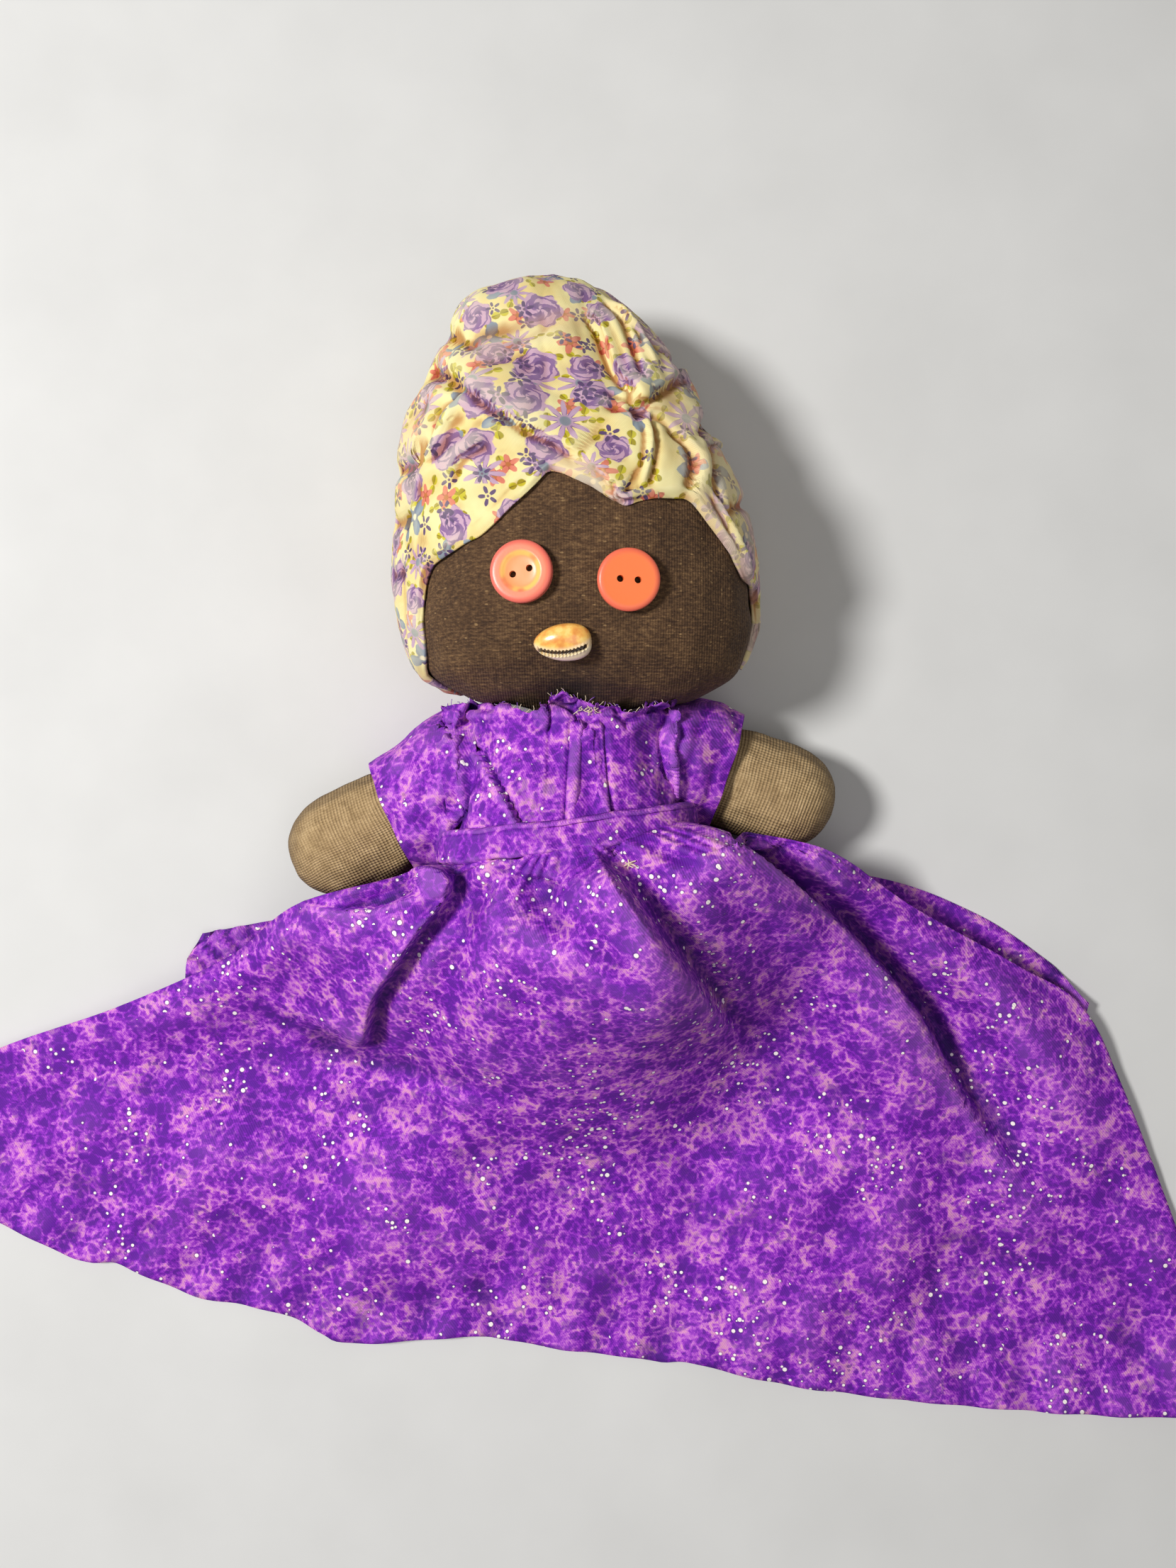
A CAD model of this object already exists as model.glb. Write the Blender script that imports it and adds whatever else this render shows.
import math

import bmesh
import bpy
import numpy as np
from mathutils import Matrix, Vector
from mathutils.bvhtree import BVHTree


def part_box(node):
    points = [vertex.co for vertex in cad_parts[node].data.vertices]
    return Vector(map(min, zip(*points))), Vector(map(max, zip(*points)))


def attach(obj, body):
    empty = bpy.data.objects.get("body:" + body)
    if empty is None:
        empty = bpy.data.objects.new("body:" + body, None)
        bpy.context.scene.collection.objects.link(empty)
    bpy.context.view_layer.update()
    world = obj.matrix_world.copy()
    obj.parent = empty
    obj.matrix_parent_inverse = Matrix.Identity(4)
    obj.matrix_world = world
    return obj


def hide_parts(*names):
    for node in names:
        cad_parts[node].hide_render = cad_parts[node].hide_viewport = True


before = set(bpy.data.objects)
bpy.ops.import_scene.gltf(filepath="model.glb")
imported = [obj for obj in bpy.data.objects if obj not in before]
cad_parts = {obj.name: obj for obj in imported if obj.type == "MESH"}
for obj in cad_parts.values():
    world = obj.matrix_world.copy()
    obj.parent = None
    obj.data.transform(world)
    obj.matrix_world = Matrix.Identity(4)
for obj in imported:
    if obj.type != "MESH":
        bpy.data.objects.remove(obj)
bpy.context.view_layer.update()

# The doll's neck, which the CAD is modelled about, from the thread that ties it
TIE_LOW, TIE_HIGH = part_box("neck_tie")
NECK = np.array(((TIE_LOW[0] + TIE_HIGH[0]) / 2 - 0.00075, (TIE_LOW[1] + TIE_HIGH[1]) / 2 + 0.0035, 0.0))
HEAD_MIDDLE = NECK + (0.0035, 0.0465, 0.0446)
UP = np.array((0.0, 0.0, 1.0))
MILLIMETRE = 0.001
# Thickness of the dress's cotton, and the least gap between it and what lies under it
COTTON = 0.00045
GAP = 0.0007

# The photograph's camera: straight above, image size 1659 x 2212, distances in its pixels
EYE = NECK + (0.005, -0.024, 0.520)
FOCAL = 2014.0
MIDDLE = (829.5, 1106.0)


# Places

def solid(*names):
    """A search tree over the surfaces of CAD solids."""
    points, faces = [], []
    for name in names:
        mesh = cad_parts[name].data
        first = len(points)
        points += [v.co.copy() for v in mesh.vertices]
        faces += [[first + k for k in p.vertices] for p in mesh.polygons]
    return BVHTree.FromPolygons(points, faces)


def seen(tree, u, v, level=0.004):
    """The place on a surface that the photograph's camera sees at a pixel, or the nearest one."""
    way = Vector(((u - MIDDLE[0]) / FOCAL, (MIDDLE[1] - v) / FOCAL, -1))
    hit = tree.ray_cast(Vector(EYE), way.normalized())[0]
    if hit is None:
        hit = tree.find_nearest(Vector(EYE) + way * (EYE[2] - level))[0]
    return np.array(hit)


def spot(u, v, level=0.002):
    """The place at that level over the floor seen at a pixel."""
    reach = EYE[2] - level
    return EYE + np.array(((u - MIDDLE[0]) / FOCAL, (MIDDLE[1] - v) / FOCAL, -1)) * reach


def curve(points, count):
    """Places at even steps along a smooth curve through the points."""
    points = np.array(points, float)
    ends = np.vstack([2 * points[0] - points[1], points, 2 * points[-1] - points[-2]])
    dense = []
    for a, b, c, d in zip(ends, ends[1:], ends[2:], ends[3:]):
        for t in np.linspace(0, 1, 16, endpoint=False):
            dense.append(0.5 * (2 * b + (c - a) * t + (2 * a - 5 * b + 4 * c - d) * t * t
                                + (3 * b - 3 * c + d - a) * t ** 3))
    dense = np.array(dense + [points[-1]])
    run = np.r_[0, np.cumsum(np.linalg.norm(np.diff(dense, axis=0), axis=1))]
    places = np.linspace(0, run[-1], count)
    return np.column_stack([np.interp(places, run, dense[:, k]) for k in range(dense.shape[1])])


def traced(tree, pixels, count=48, level=0.004):
    """A smooth path over a surface through places given by their pixels."""
    return curve([seen(tree, u, v, level) for u, v in pixels], count)


def smooth(low, high, value):
    """0 at low, 1 at high and smooth between; low may be the greater one."""
    share = np.clip((np.asarray(value, float) - low) / (high - low), 0, 1)
    return share * share * (3 - 2 * share)


def unit(vectors):
    return vectors / np.maximum(np.linalg.norm(vectors, axis=-1, keepdims=True), 1e-12)


def ripple(points, size, seed, waves=14):
    """An even, repeatable unevenness of about that size, from -1 to 1."""
    chance = np.random.default_rng(seed)
    total = 0
    for _ in range(waves):
        way = chance.normal(size=3)
        way /= np.linalg.norm(way)
        total = total + np.sin(points @ way * 2 * math.pi / (size * chance.uniform(0.7, 1.5))
            + chance.uniform(0, 6.3))
    return total / math.sqrt(waves) / 1.4


def rippled(points, *ripples):
    """The sum of ripples given as size in metres, seed and height in millimetres."""
    return sum(ripple(points, size, seed) * height * MILLIMETRE for size, seed, height in ripples)


def fold(points, outward, path, height, left=4, right=4, over=0, sink=0, rise=0.2, fade=0.25):
    """Moves that one fold along a path makes. Left and right are as the path runs, seen from outside.

    The cloth rises by height over the path, falls away over the two widths, dips by sink beyond its
    left side, and its crest leans over to the left by over. All five are in millimetres. It grows over
    the first share of the path given by rise, and fades over the last share given by fade.
    """
    height, left, right, over, sink = (MILLIMETRE * size for size in (height, left, right, over, sink))
    shape = points.shape
    flat, out = points.reshape(-1, 3), np.broadcast_to(outward, shape).reshape(-1, 3)
    heading = unit(np.gradient(path, axis=0))
    moved = np.zeros(flat.shape)
    reach = 3.2 * max(left, right) + (3.5 * left if sink else 0)
    low, high = path.min(axis=0) - reach, path.max(axis=0) + reach
    close = np.nonzero(((flat > low) & (flat < high)).all(axis=1))[0]
    if not len(close):
        return moved.reshape(shape)
    some, out = flat[close], out[close]
    near = ((some[:, None, :] - path[None]) ** 2).sum(axis=2).argmin(axis=1)
    gap = some - path[near]
    gap = gap - out * (gap * out).sum(axis=1, keepdims=True)
    aside = unit(np.cross(out, heading[near]))
    side = (gap * aside).sum(axis=1)
    distance = np.linalg.norm(gap, axis=1) * np.where(side >= 0, 1, -1)
    share = near / (len(path) - 1)
    strength = smooth(0, rise, share) if rise else np.ones(len(share))
    strength = strength * (1 - smooth(1 - fade, 1, share)) if fade else strength
    lift = height * np.exp(-(distance / np.where(distance >= 0, left, right)) ** 2)
    if sink:
        lift = lift - sink * np.exp(-((distance - 2.2 * left) / (1.4 * left)) ** 2)
    lean = over * np.exp(-((distance + 0.4 * left) / (1.2 * left)) ** 2)
    moved[close] = out * (lift * strength)[:, None] + aside * (lean * strength)[:, None]
    return moved.reshape(shape)


def evened(grid, times=2, closed=False):
    """A grid of heights or places, smoothed along its rows and columns."""
    for _ in range(times):
        across = np.concatenate([grid[:, -1:], grid, grid[:, :1]], axis=1) if closed else np.concatenate(
            [grid[:, :1], grid, grid[:, -1:]], axis=1)
        grid = 0.5 * grid + 0.25 * (across[:, :-2] + across[:, 2:])
        down = np.concatenate([grid[:1], grid, grid[-1:]], axis=0)
        grid = 0.5 * grid + 0.25 * (down[:-2] + down[2:])
    return grid


def round_turns(columns):
    """Angles of a closed grid's columns, from the lowest one."""
    return -math.pi / 2 + 2 * math.pi * np.arange(columns) / columns


def ringed(values, times):
    """Values round a closed ring, smoothed."""
    for _ in range(times):
        values = 0.5 * values + 0.25 * (np.roll(values, 1) + np.roll(values, -1))
    return values


# Meshes

def shaped(name, points, faces, finish, smooth_angle=None):
    """A smooth-shaded mesh object that rides on the frame."""
    mesh = bpy.data.meshes.new(name)
    mesh.from_pydata([tuple(p) for p in points], [], [tuple(f) for f in faces])
    mesh.validate()
    mesh.shade_smooth()
    if smooth_angle:
        mesh.set_sharp_from_angle(angle=math.radians(smooth_angle))
    made = bpy.data.objects.new(name, mesh)
    bpy.context.scene.collection.objects.link(made)
    mesh.materials.append(finish)
    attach(made, "root")
    return made


def grid_faces(rows, columns, closed=False, turned=False):
    faces = []
    for r in range(rows - 1):
        for c in range(columns if closed else columns - 1):
            n = (c + 1) % columns
            quad = (r * columns + c, r * columns + n, (r + 1) * columns + n, (r + 1) * columns + c)
            faces.append(quad[::-1] if turned else quad)
    return faces


def marked(mesh, name, values):
    """Values at the points of a mesh for its material to read."""
    layer = mesh.attributes.new(name, "FLOAT", "POINT")
    layer.data.foreach_set("value", np.asarray(values, np.float32).reshape(-1))


def hollows(grid, closed, times=10, depth=0.0005):
    """1 in creases and -1 on crests, from how far a grid's places lie from their smoothed ones."""
    normals = grid_normals(grid, closed)
    normals = normals * np.where(normals[..., 2:] + 1e-6 > 0, 1, -1) if not closed else normals
    gap = ((evened(grid, times, closed) - grid) * normals).sum(axis=-1)
    return np.clip(gap / depth, -1, 1)


def cloth(name, grid, finish, thickness, closed=False, turned=False, inward=True, times=10, depth=0.0005):
    """A sheet of cloth from a grid of places, given its thickness on its far side."""
    rows, columns = grid.shape[:2]
    made = shaped(name, grid.reshape(-1, 3), grid_faces(rows, columns, closed, turned), finish)
    side = grid_normals(grid, closed)
    middle = grid.reshape(-1, 3).mean(axis=0)
    hollow = hollows(grid, closed, times, depth)
    if closed:
        out = ((grid - middle) * side).sum(-1)
        hollow = hollow * (1 if (out > 0).mean() > 0.5 else -1)
    marked(made.data, "hollow", hollow)
    thick = made.modifiers.new("thickness", "SOLIDIFY")
    thick.thickness = thickness
    thick.offset = -1 if inward else 1
    return made


def place_of(name):
    """Middle of a CAD node's box."""
    low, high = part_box(name)
    return (np.array(low) + np.array(high)) / 2


# Materials

def rgb(red, green, blue):
    """A colour given as it looks on a screen."""
    def linear(value):
        value /= 255
        return value / 12.92 if value <= 0.04045 else ((value + 0.055) / 1.055) ** 2.4
    return (linear(red), linear(green), linear(blue), 1)


class Value:
    """An output of a material's node, on which arithmetic makes further nodes."""

    def __init__(self, paint, socket):
        self.paint, self.socket = paint, socket

    def __add__(self, other):
        return self.paint.calc("ADD", self, other)

    def __radd__(self, other):
        return self.paint.calc("ADD", other, self)

    def __sub__(self, other):
        return self.paint.calc("SUBTRACT", self, other)

    def __rsub__(self, other):
        return self.paint.calc("SUBTRACT", other, self)

    def __mul__(self, other):
        return self.paint.calc("MULTIPLY", self, other)

    def __rmul__(self, other):
        return self.paint.calc("MULTIPLY", other, self)

    def __truediv__(self, other):
        return self.paint.calc("DIVIDE", self, other)


class Paint:
    """A Principled material whose colour, roughness and bump come from procedural nodes."""

    def __init__(self, name, roughness=0.8, **sockets):
        self.made = bpy.data.materials.new(name)
        self.made.use_nodes = True
        self.tree = self.made.node_tree
        self.shader = self.tree.nodes["Principled BSDF"]
        self.shader.inputs["Roughness"].default_value = roughness
        for socket, value in sockets.items():
            self.shader.inputs[socket.replace("_", " ")].default_value = value

    def node(self, kind, values=(), **settings):
        made = self.tree.nodes.new(kind)
        for key, value in settings.items():
            setattr(made, key, value)
        for socket, value in dict(values).items():
            self.feed(made.inputs[socket], value)
        return made

    def feed(self, socket, value):
        if isinstance(value, Value):
            self.tree.links.new(value.socket, socket)
        else:
            socket.default_value = value

    def calc(self, operation, *values, clamp=False):
        made = self.node("ShaderNodeMath", operation=operation, use_clamp=clamp)
        for socket, value in zip(made.inputs, values):
            self.feed(socket, value)
        return Value(self, made.outputs[0])

    def sine(self, angle):
        return self.calc("SINE", angle)

    def cosine(self, angle):
        return self.calc("COSINE", angle)

    def greater(self, first, second):
        return self.calc("MAXIMUM", first, second)

    def absolute(self, value):
        """The value without its sign."""
        return self.calc("ABSOLUTE", value)

    def vector(self, operation, *values, out=0):
        made = self.node("ShaderNodeVectorMath", operation=operation)
        sockets = [s for s in made.inputs if s.enabled] if operation != "SCALE" else [made.inputs[0],
            made.inputs[3]]
        for socket, value in zip(sockets, values):
            self.feed(socket, value)
        return Value(self, made.outputs[out])

    def place(self):
        """Millimetres in the object's own frame."""
        if not hasattr(self, "_place"):
            at = Value(self, self.node("ShaderNodeTexCoord").outputs["Object"])
            self._place = self.vector("SCALE", at, 1000.0)
        return self._place

    def flat(self):
        """Millimetres on the flat cloth, from the piece's UV map."""
        if not hasattr(self, "_flat"):
            at = Value(self, self.node("ShaderNodeTexCoord").outputs["UV"])
            self._flat = self.vector("SCALE", at, 1000.0)
        return self._flat

    def split(self, at):
        return [Value(self, socket) for socket in self.node("ShaderNodeSeparateXYZ", {0: at}).outputs]

    def noise(self, at, scale, detail=2.0, rough=0.5, colour=False):
        made = self.node(
            "ShaderNodeTexNoise", {"Vector": at, "Scale": scale, "Detail": detail, "Roughness": rough})
        return Value(self, made.outputs["Color" if colour else "Fac"])

    def cells(self, at, scale, spread=1.0, feature="F1", dimensions="3D"):
        made = self.node("ShaderNodeTexVoronoi", {"Vector": at, "Scale": scale, "Randomness": spread},
                         feature=feature, voronoi_dimensions=dimensions)
        return {socket.name: Value(self, socket) for socket in made.outputs}

    def rise(self, value, low, high):
        """0 below low, 1 above high, and smooth between."""
        made = self.node("ShaderNodeMapRange", {0: value, 1: low, 2: high}, interpolation_type="SMOOTHSTEP")
        return Value(self, made.outputs[0])

    def fall(self, value, low, high):
        """1 below low, 0 above high, and smooth between."""
        return 1.0 - self.rise(value, low, high)

    def read(self, name):
        """A mesh attribute."""
        return Value(self, self.node("ShaderNodeAttribute", attribute_name=name).outputs["Fac"])

    def mix(self, share, first, second, blend="MIX"):
        made = self.node("ShaderNodeMix", data_type="RGBA", clamp_factor=True, blend_type=blend)
        for socket, value in ((made.inputs[0], share), (made.inputs[6], first), (made.inputs[7], second)):
            self.feed(socket, value)
        return Value(self, made.outputs[2])

    def ramp(self, value, *stops):
        made = self.node("ShaderNodeValToRGB", {0: value})
        marks = made.color_ramp.elements
        while len(marks) < len(stops):
            marks.new(0.5)
        for mark, (position, colour) in zip(marks, stops):
            mark.position, mark.color = position, colour
        return Value(self, made.outputs[0])

    def warped(self, at, scale, amount, detail=2.0):
        moved = self.vector("SUBTRACT", self.noise(at, scale, detail, colour=True), (0.5, 0.5, 0.5))
        return self.vector("ADD", at, self.vector("SCALE", moved, amount))

    def creased(self, colour, dark, light, depth=0.5, crest=0.2):
        """Darker in the cloth's creases and paler on its crests."""
        hollow = self.read("hollow")
        low = self.greater(hollow, 0.0) * depth
        high = self.greater(hollow * -1.0, 0.0) * crest
        return self.mix(high, self.mix(low, colour, dark, "MULTIPLY"), light)

    def finish(self, colour, height=None, bump=0.2, roughness=None):
        self.feed(self.shader.inputs["Base Color"], colour)
        if roughness is not None:
            self.feed(self.shader.inputs["Roughness"], roughness)
        if height is not None:
            made = self.node("ShaderNodeBump", {"Height": height, "Strength": 1.0, "Distance": bump * 0.001})
            self.tree.links.new(made.outputs[0], self.shader.inputs["Normal"])
        return self.made


def dress_paint():
    """Marbled purple cotton in twill weave with glitter dots in clusters."""
    p = Paint("dress_print", 0.78)
    at = p.place()
    loose = p.warped(at, 0.12, 3.6, 2.0)
    jag = p.warped(loose, 1.1, 1.3, 2.0)
    blotch = p.noise(loose, 0.13, 4.0, 0.60)
    grain = p.noise(jag, 0.70, 3.0, 0.70)
    lines = p.cells(jag, 0.27, feature="DISTANCE_TO_EDGE")["Distance"]
    net = p.fall(lines, 0.02, 0.24)
    tone = blotch * 0.6 + grain * 0.34 + net * 0.085
    colour = p.ramp(
        tone, (0.435, rgb(96, 0, 154)), (0.475, rgb(122, 10, 178)), (0.515, rgb(146, 34, 194)),
        (0.555, rgb(178, 74, 208)), (0.595, rgb(206, 116, 216)), (0.65, rgb(226, 152, 202)),
    )
    small = p.cells(jag, 0.40)
    dark = p.fall(small["Distance"], 0.3, 0.38)
    chosen = p.calc("GREATER_THAN", p.split(small["Color"])[0], 0.66)
    colour = p.mix(dark * chosen * 0.7, colour, rgb(98, 4, 158))
    rings = p.cells(loose, 0.13)
    near = rings["Distance"]
    ring = p.rise(near, 0.2, 0.25) * p.fall(near, 0.36, 0.44)
    ring = ring * p.calc("GREATER_THAN", p.split(rings["Color"])[1], 0.45)
    colour = p.mix(ring * 0.55, colour, rgb(94, 4, 156))
    haze = p.rise(p.noise(at, 0.05, 3.0, 0.6), 0.56, 0.7) * p.rise(grain, 0.42, 0.56)
    colour = p.mix(haze * 0.55, colour, rgb(92, 38, 128))
    x, y, z = p.split(at)[:3]
    slant = x * 0.82 + y * 0.58
    twill = p.sine((slant + z * 0.4) * 9.0)
    colour = p.vector("SCALE", colour, 0.97 + twill * 0.085)
    colour = p.creased(colour, rgb(120, 70, 150), rgb(214, 140, 224), 0.80, 0.22)
    crowd = p.rise(p.noise(at, 0.034, 3.0, 0.62), 0.48, 0.66)
    glitter, rim = 0.0, 0.0
    for scale, size, least, most in ((0.42, 0.27, 0.014, 0.46), (0.27, 0.24, 0.02, 0.46)):
        dots = p.cells(p.vector("ADD", at, (37.0 * scale, 11.0, 5.0)), scale)
        found = p.fall(dots["Distance"], size * 0.8, size)
        around = p.fall(dots["Distance"], size * 1.2, size * 1.6)
        room = least + crowd * most
        kept = p.calc("LESS_THAN", p.split(dots["Color"])[1], room)
        glitter = p.greater(glitter, found * kept)
        rim = p.greater(rim, around * kept)
    colour = p.mix(rim * 0.45, colour, rgb(84, 20, 120))
    colour = p.mix(glitter, colour, rgb(255, 247, 240))
    gloss = 0.8 - glitter * 0.45
    height = twill * 0.35 + (grain * 0.8 + glitter)
    return p.finish(colour, height, 0.10, gloss)


class Print(Paint):
    """Small flowers stamped at scattered places of the flat cloth."""

    def stamps(self, size, seed, kept, radius):
        """Place about the nearest stamp: share of its radius, angle, and whether the stamp is printed."""
        at = self.vector("ADD", self.flat(), (seed * 13.7, seed * 7.3, 0.0))
        found = self.cells(at, 1 / size, 0.8, dimensions="2D")
        offset = self.vector("SUBTRACT", at, found["Position"])
        chances = self.split(found["Color"])
        x, y = self.split(offset)[:2]
        scaled = radius * (0.82 + chances[2] * 0.36)
        reach = self.vector("LENGTH", offset, out=1) / scaled
        angle = self.calc("ARCTAN2", y, x) + chances[1] * 6.283
        return reach, angle, self.calc("LESS_THAN", chances[0], kept)

    def inside(self, reach, edge, soft=0.05):
        """1 where reach is under edge."""
        return self.fall(reach - edge, -soft, soft)

    def petals(self, angle, count, deep):
        """Edge of a flower with that many petals, 1 at their tips."""
        wave = self.cosine(angle * float(count))
        return 1.0 - deep + wave * deep, wave

    def lay(self, colour, mask, shown, ink):
        return self.mix(mask * shown, colour, ink)


def wrap_paint():
    """Cream cotton with a small traditional floral print in mauve, violet, coral, blue-grey and olive."""
    p = Print("wrap_print", 0.85)
    at = p.flat()
    colour = p.ramp(p.noise(at, 0.06, 3.0), (0.40, rgb(247, 222, 146)), (0.60, rgb(255, 241, 174)))
    wobble = (p.noise(at, 0.45, 2.0) - 0.5) * 0.35

    # Olive leaves in pairs with a darker half
    for size, seed, kept in ((7.6, 3, 0.66), (9.5, 8, 0.60)):
        reach, angle, shown = p.stamps(size, seed, kept, 2.6)
        edge = p.absolute(p.cosine(angle))
        edge = p.calc("POWER", edge, 1.6)
        mask = p.inside(reach + wobble, edge, 0.09)
        half = p.rise(p.sine(angle * 2.0), -0.15, 0.15)
        colour = p.lay(colour, mask, shown, p.mix(half, rgb(214, 200, 40), rgb(178, 160, 22)))
        vein = mask * p.fall(p.absolute(p.sine(angle)), 0.03, 0.14)
        colour = p.lay(colour, vein, shown, rgb(140, 122, 20))

    # Blue-grey leaf sprays with a pale eye
    reach, angle, shown = p.stamps(17.0, 5, 0.62, 5.6)
    edge, wave = p.petals(angle, 3, 0.34)
    mask = p.inside(reach + wobble, edge, 0.04)
    ink = p.mix(p.rise(wave, -0.2, 0.6), rgb(118, 130, 152), rgb(150, 162, 174))
    colour = p.lay(colour, mask, shown, ink)
    colour = p.lay(colour, p.inside(reach, 0.16), shown, rgb(250, 236, 200))

    # Coral flowers
    reach, angle, shown = p.stamps(12.5, 11, 0.60, 3.7)
    edge, wave = p.petals(angle, 5, 0.27)
    mask = p.inside(reach + wobble, edge, 0.05)
    colour = p.lay(colour, mask, shown, rgb(232, 134, 108))
    dark = mask * p.rise(wave * -1.0, 0.45, 0.8)
    colour = p.lay(colour, dark, shown, rgb(196, 92, 74))
    colour = p.lay(colour, p.inside(reach, 0.22), shown, rgb(200, 120, 60))

    # Lilac daisies with long petals
    reach, angle, shown = p.stamps(16.0, 17, 0.60, 6.3)
    edge, wave = p.petals(angle, 9, 0.36)
    mask = p.inside(reach + wobble, edge, 0.05)
    colour = p.lay(colour, mask, shown, rgb(205, 168, 196))
    dark = mask * (p.rise(wave * -1.0, -0.05, 0.25) * p.rise(reach, 0.25, 0.35))
    colour = p.lay(colour, dark, shown, rgb(140, 106, 156))
    colour = p.lay(colour, p.inside(reach, 0.23), shown, rgb(142, 150, 160))

    # Large mauve roses: a scalloped disc with scrolled petals
    reach, angle, shown = p.stamps(17.0, 23, 0.74, 6.3)
    edge, wave = p.petals(angle, 6, 0.10)
    bent = reach + wobble
    mask = p.inside(bent, edge, 0.04)
    colour = p.lay(colour, mask, shown, rgb(212, 172, 196))
    turn = angle * 3.0 + bent * 7.5
    scroll = p.rise(p.sine(turn), 0.42, 0.62)
    band = p.sine(bent * 17.0 + angle)
    scroll = p.greater(scroll, p.rise(band, 0.62, 0.8))
    scroll = scroll * mask * p.rise(reach, 0.1, 0.2)
    colour = p.lay(colour, scroll, shown, rgb(146, 108, 158))
    core = p.inside(reach, 0.42) * p.rise(p.sine(turn + 2.0), 0.1, 0.4)
    colour = p.lay(colour, core, shown, rgb(122, 88, 140))

    # Small dark violet flowers of five separate petals
    for size, seed, kept in ((11.5, 29, 0.62), (14.0, 37, 0.55)):
        reach, angle, shown = p.stamps(size, seed, kept, 2.9)
        wave = p.cosine(angle * 5.0)
        edge = p.calc("POWER", p.greater(wave * 0.62 + 0.38, 0.0), 0.5)
        mask = p.inside(reach + wobble, edge, 0.05) * p.rise(reach, 0.24, 0.34)
        colour = p.lay(colour, mask, shown, rgb(98, 74, 118))
        colour = p.lay(colour, p.inside(reach, 0.13), shown, rgb(120, 96, 120))

    worn = p.read("worn")
    colour = p.mix(worn * 0.62, colour, rgb(242, 212, 172))
    colour = p.creased(colour, rgb(196, 150, 118), rgb(255, 247, 200), 0.90, 0.30)
    thread_x = p.sine(p.split(at)[0] * 14.0)
    thread_y = p.sine(p.split(at)[1] * 14.0)
    weave = thread_x * thread_y
    colour = p.vector("SCALE", colour, 0.985 + weave * 0.025)
    height = weave + p.noise(at, 0.5, 3.0) * 2.0
    return p.finish(colour, height, 0.06)


def knit_paint():
    """Dark brown stocking knit with a mottled weave and golden-brown specks."""
    p = Paint("dark_knit_fabric", 0.92)
    at = p.place()
    rows = p.vector("MULTIPLY", at, (0.55, 1.35, 0.9))
    fine = p.noise(rows, 0.95, 4.0, 0.7)
    soft = p.noise(at, 0.07, 3.0, 0.5)
    tone = fine * 0.8 + soft * 0.25
    colour = p.ramp(
        tone, (0.40, rgb(60, 39, 21)), (0.50, rgb(80, 55, 32)), (0.58, rgb(98, 71, 44)),
        (0.70, rgb(132, 100, 64)),
    )
    flecks = p.cells(rows, 0.55)
    fleck = p.fall(flecks["Distance"], 0.12, 0.24) * p.calc("GREATER_THAN", p.split(flecks["Color"])[0], 0.8)
    colour = p.mix(fleck * 0.7, colour, rgb(158, 126, 84))
    x, y = p.split(at)[:2]
    ribs = p.sine(y * 6.4 + fine * 5.0)
    wales = p.sine(x * 7.6 + fine * 4.0)
    knit = ribs + wales
    colour = p.vector("SCALE", colour, 0.97 + knit * 0.022)
    colour = p.creased(colour, rgb(104, 92, 84), rgb(104, 77, 52), 0.95, 0.0)
    return p.finish(colour, knit * 0.6 + fine * 3.0, 0.08)


def sheer_paint(name, heading):
    """Sheer stocking, ribbed round the arm, over white wadding that shows through."""
    p = Paint(name, 0.85)
    at = p.place()
    bent = p.warped(at, 0.05, 3.0, 1.0)
    run = p.vector("DOT_PRODUCT", bent, tuple(heading), out=1)
    across = p.vector("DOT_PRODUCT", bent, (-heading[1], heading[0], 0.0), out=1)
    ribs = p.sine(run * 5.6)
    threads = p.sine(across * 7.4)
    patch = p.noise(at, 0.22, 4.0, 0.6)
    fuzz = p.noise(at, 1.2, 3.0, 0.7)
    tone = patch * 0.5 + fuzz * 0.5 + ribs * 0.06 + threads * 0.035
    colour = p.ramp(
        tone, (0.30, rgb(140, 112, 74)), (0.46, rgb(168, 139, 97)), (0.54, rgb(184, 154, 110)),
        (0.70, rgb(206, 176, 130)),
    )
    facing = p.split(Value(p, p.node("ShaderNodeNewGeometry").outputs["Normal"]))[2]
    edge = p.fall(facing, 0.0, 0.9)
    colour = p.mix(edge * 0.85, colour, rgb(78, 58, 34))
    height = ribs * 1.4 + (threads + fuzz)
    return p.finish(colour, height, 0.09)


def button_paint(name, face, rim, dish):
    """Glossy moulded plastic, paler in the dished middle and pinker at the rim."""
    p = Paint(name, 0.38, Coat_Weight=0.15, Coat_Roughness=0.2, Specular_IOR_Level=0.35)
    at = p.place()
    x, y = p.split(at)[:2]
    out = p.calc("SQRT", x * x + y * y)
    colour = p.mix(p.rise(out, 7.2, 9.2), face, rim)
    if dish:
        colour = p.mix(p.fall(out, 4.9, 6.3), colour, dish)
        ring = p.rise(out, 4.4, 5.4) * p.fall(out, 5.8, 6.8)
        patchy = p.rise(p.noise(at, 0.16, 2.0), 0.36, 0.56)
        colour = p.mix(ring * patchy * 0.85, colour, rgb(255, 204, 108))
    marks = p.noise(at, 0.9, 4.0, 0.7)
    colour = p.vector("SCALE", colour, 0.97 + marks * 0.06)
    gloss = 0.3 + p.noise(at, 2.5, 3.0) * 0.16
    return p.finish(colour, marks, 0.02, gloss)


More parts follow.
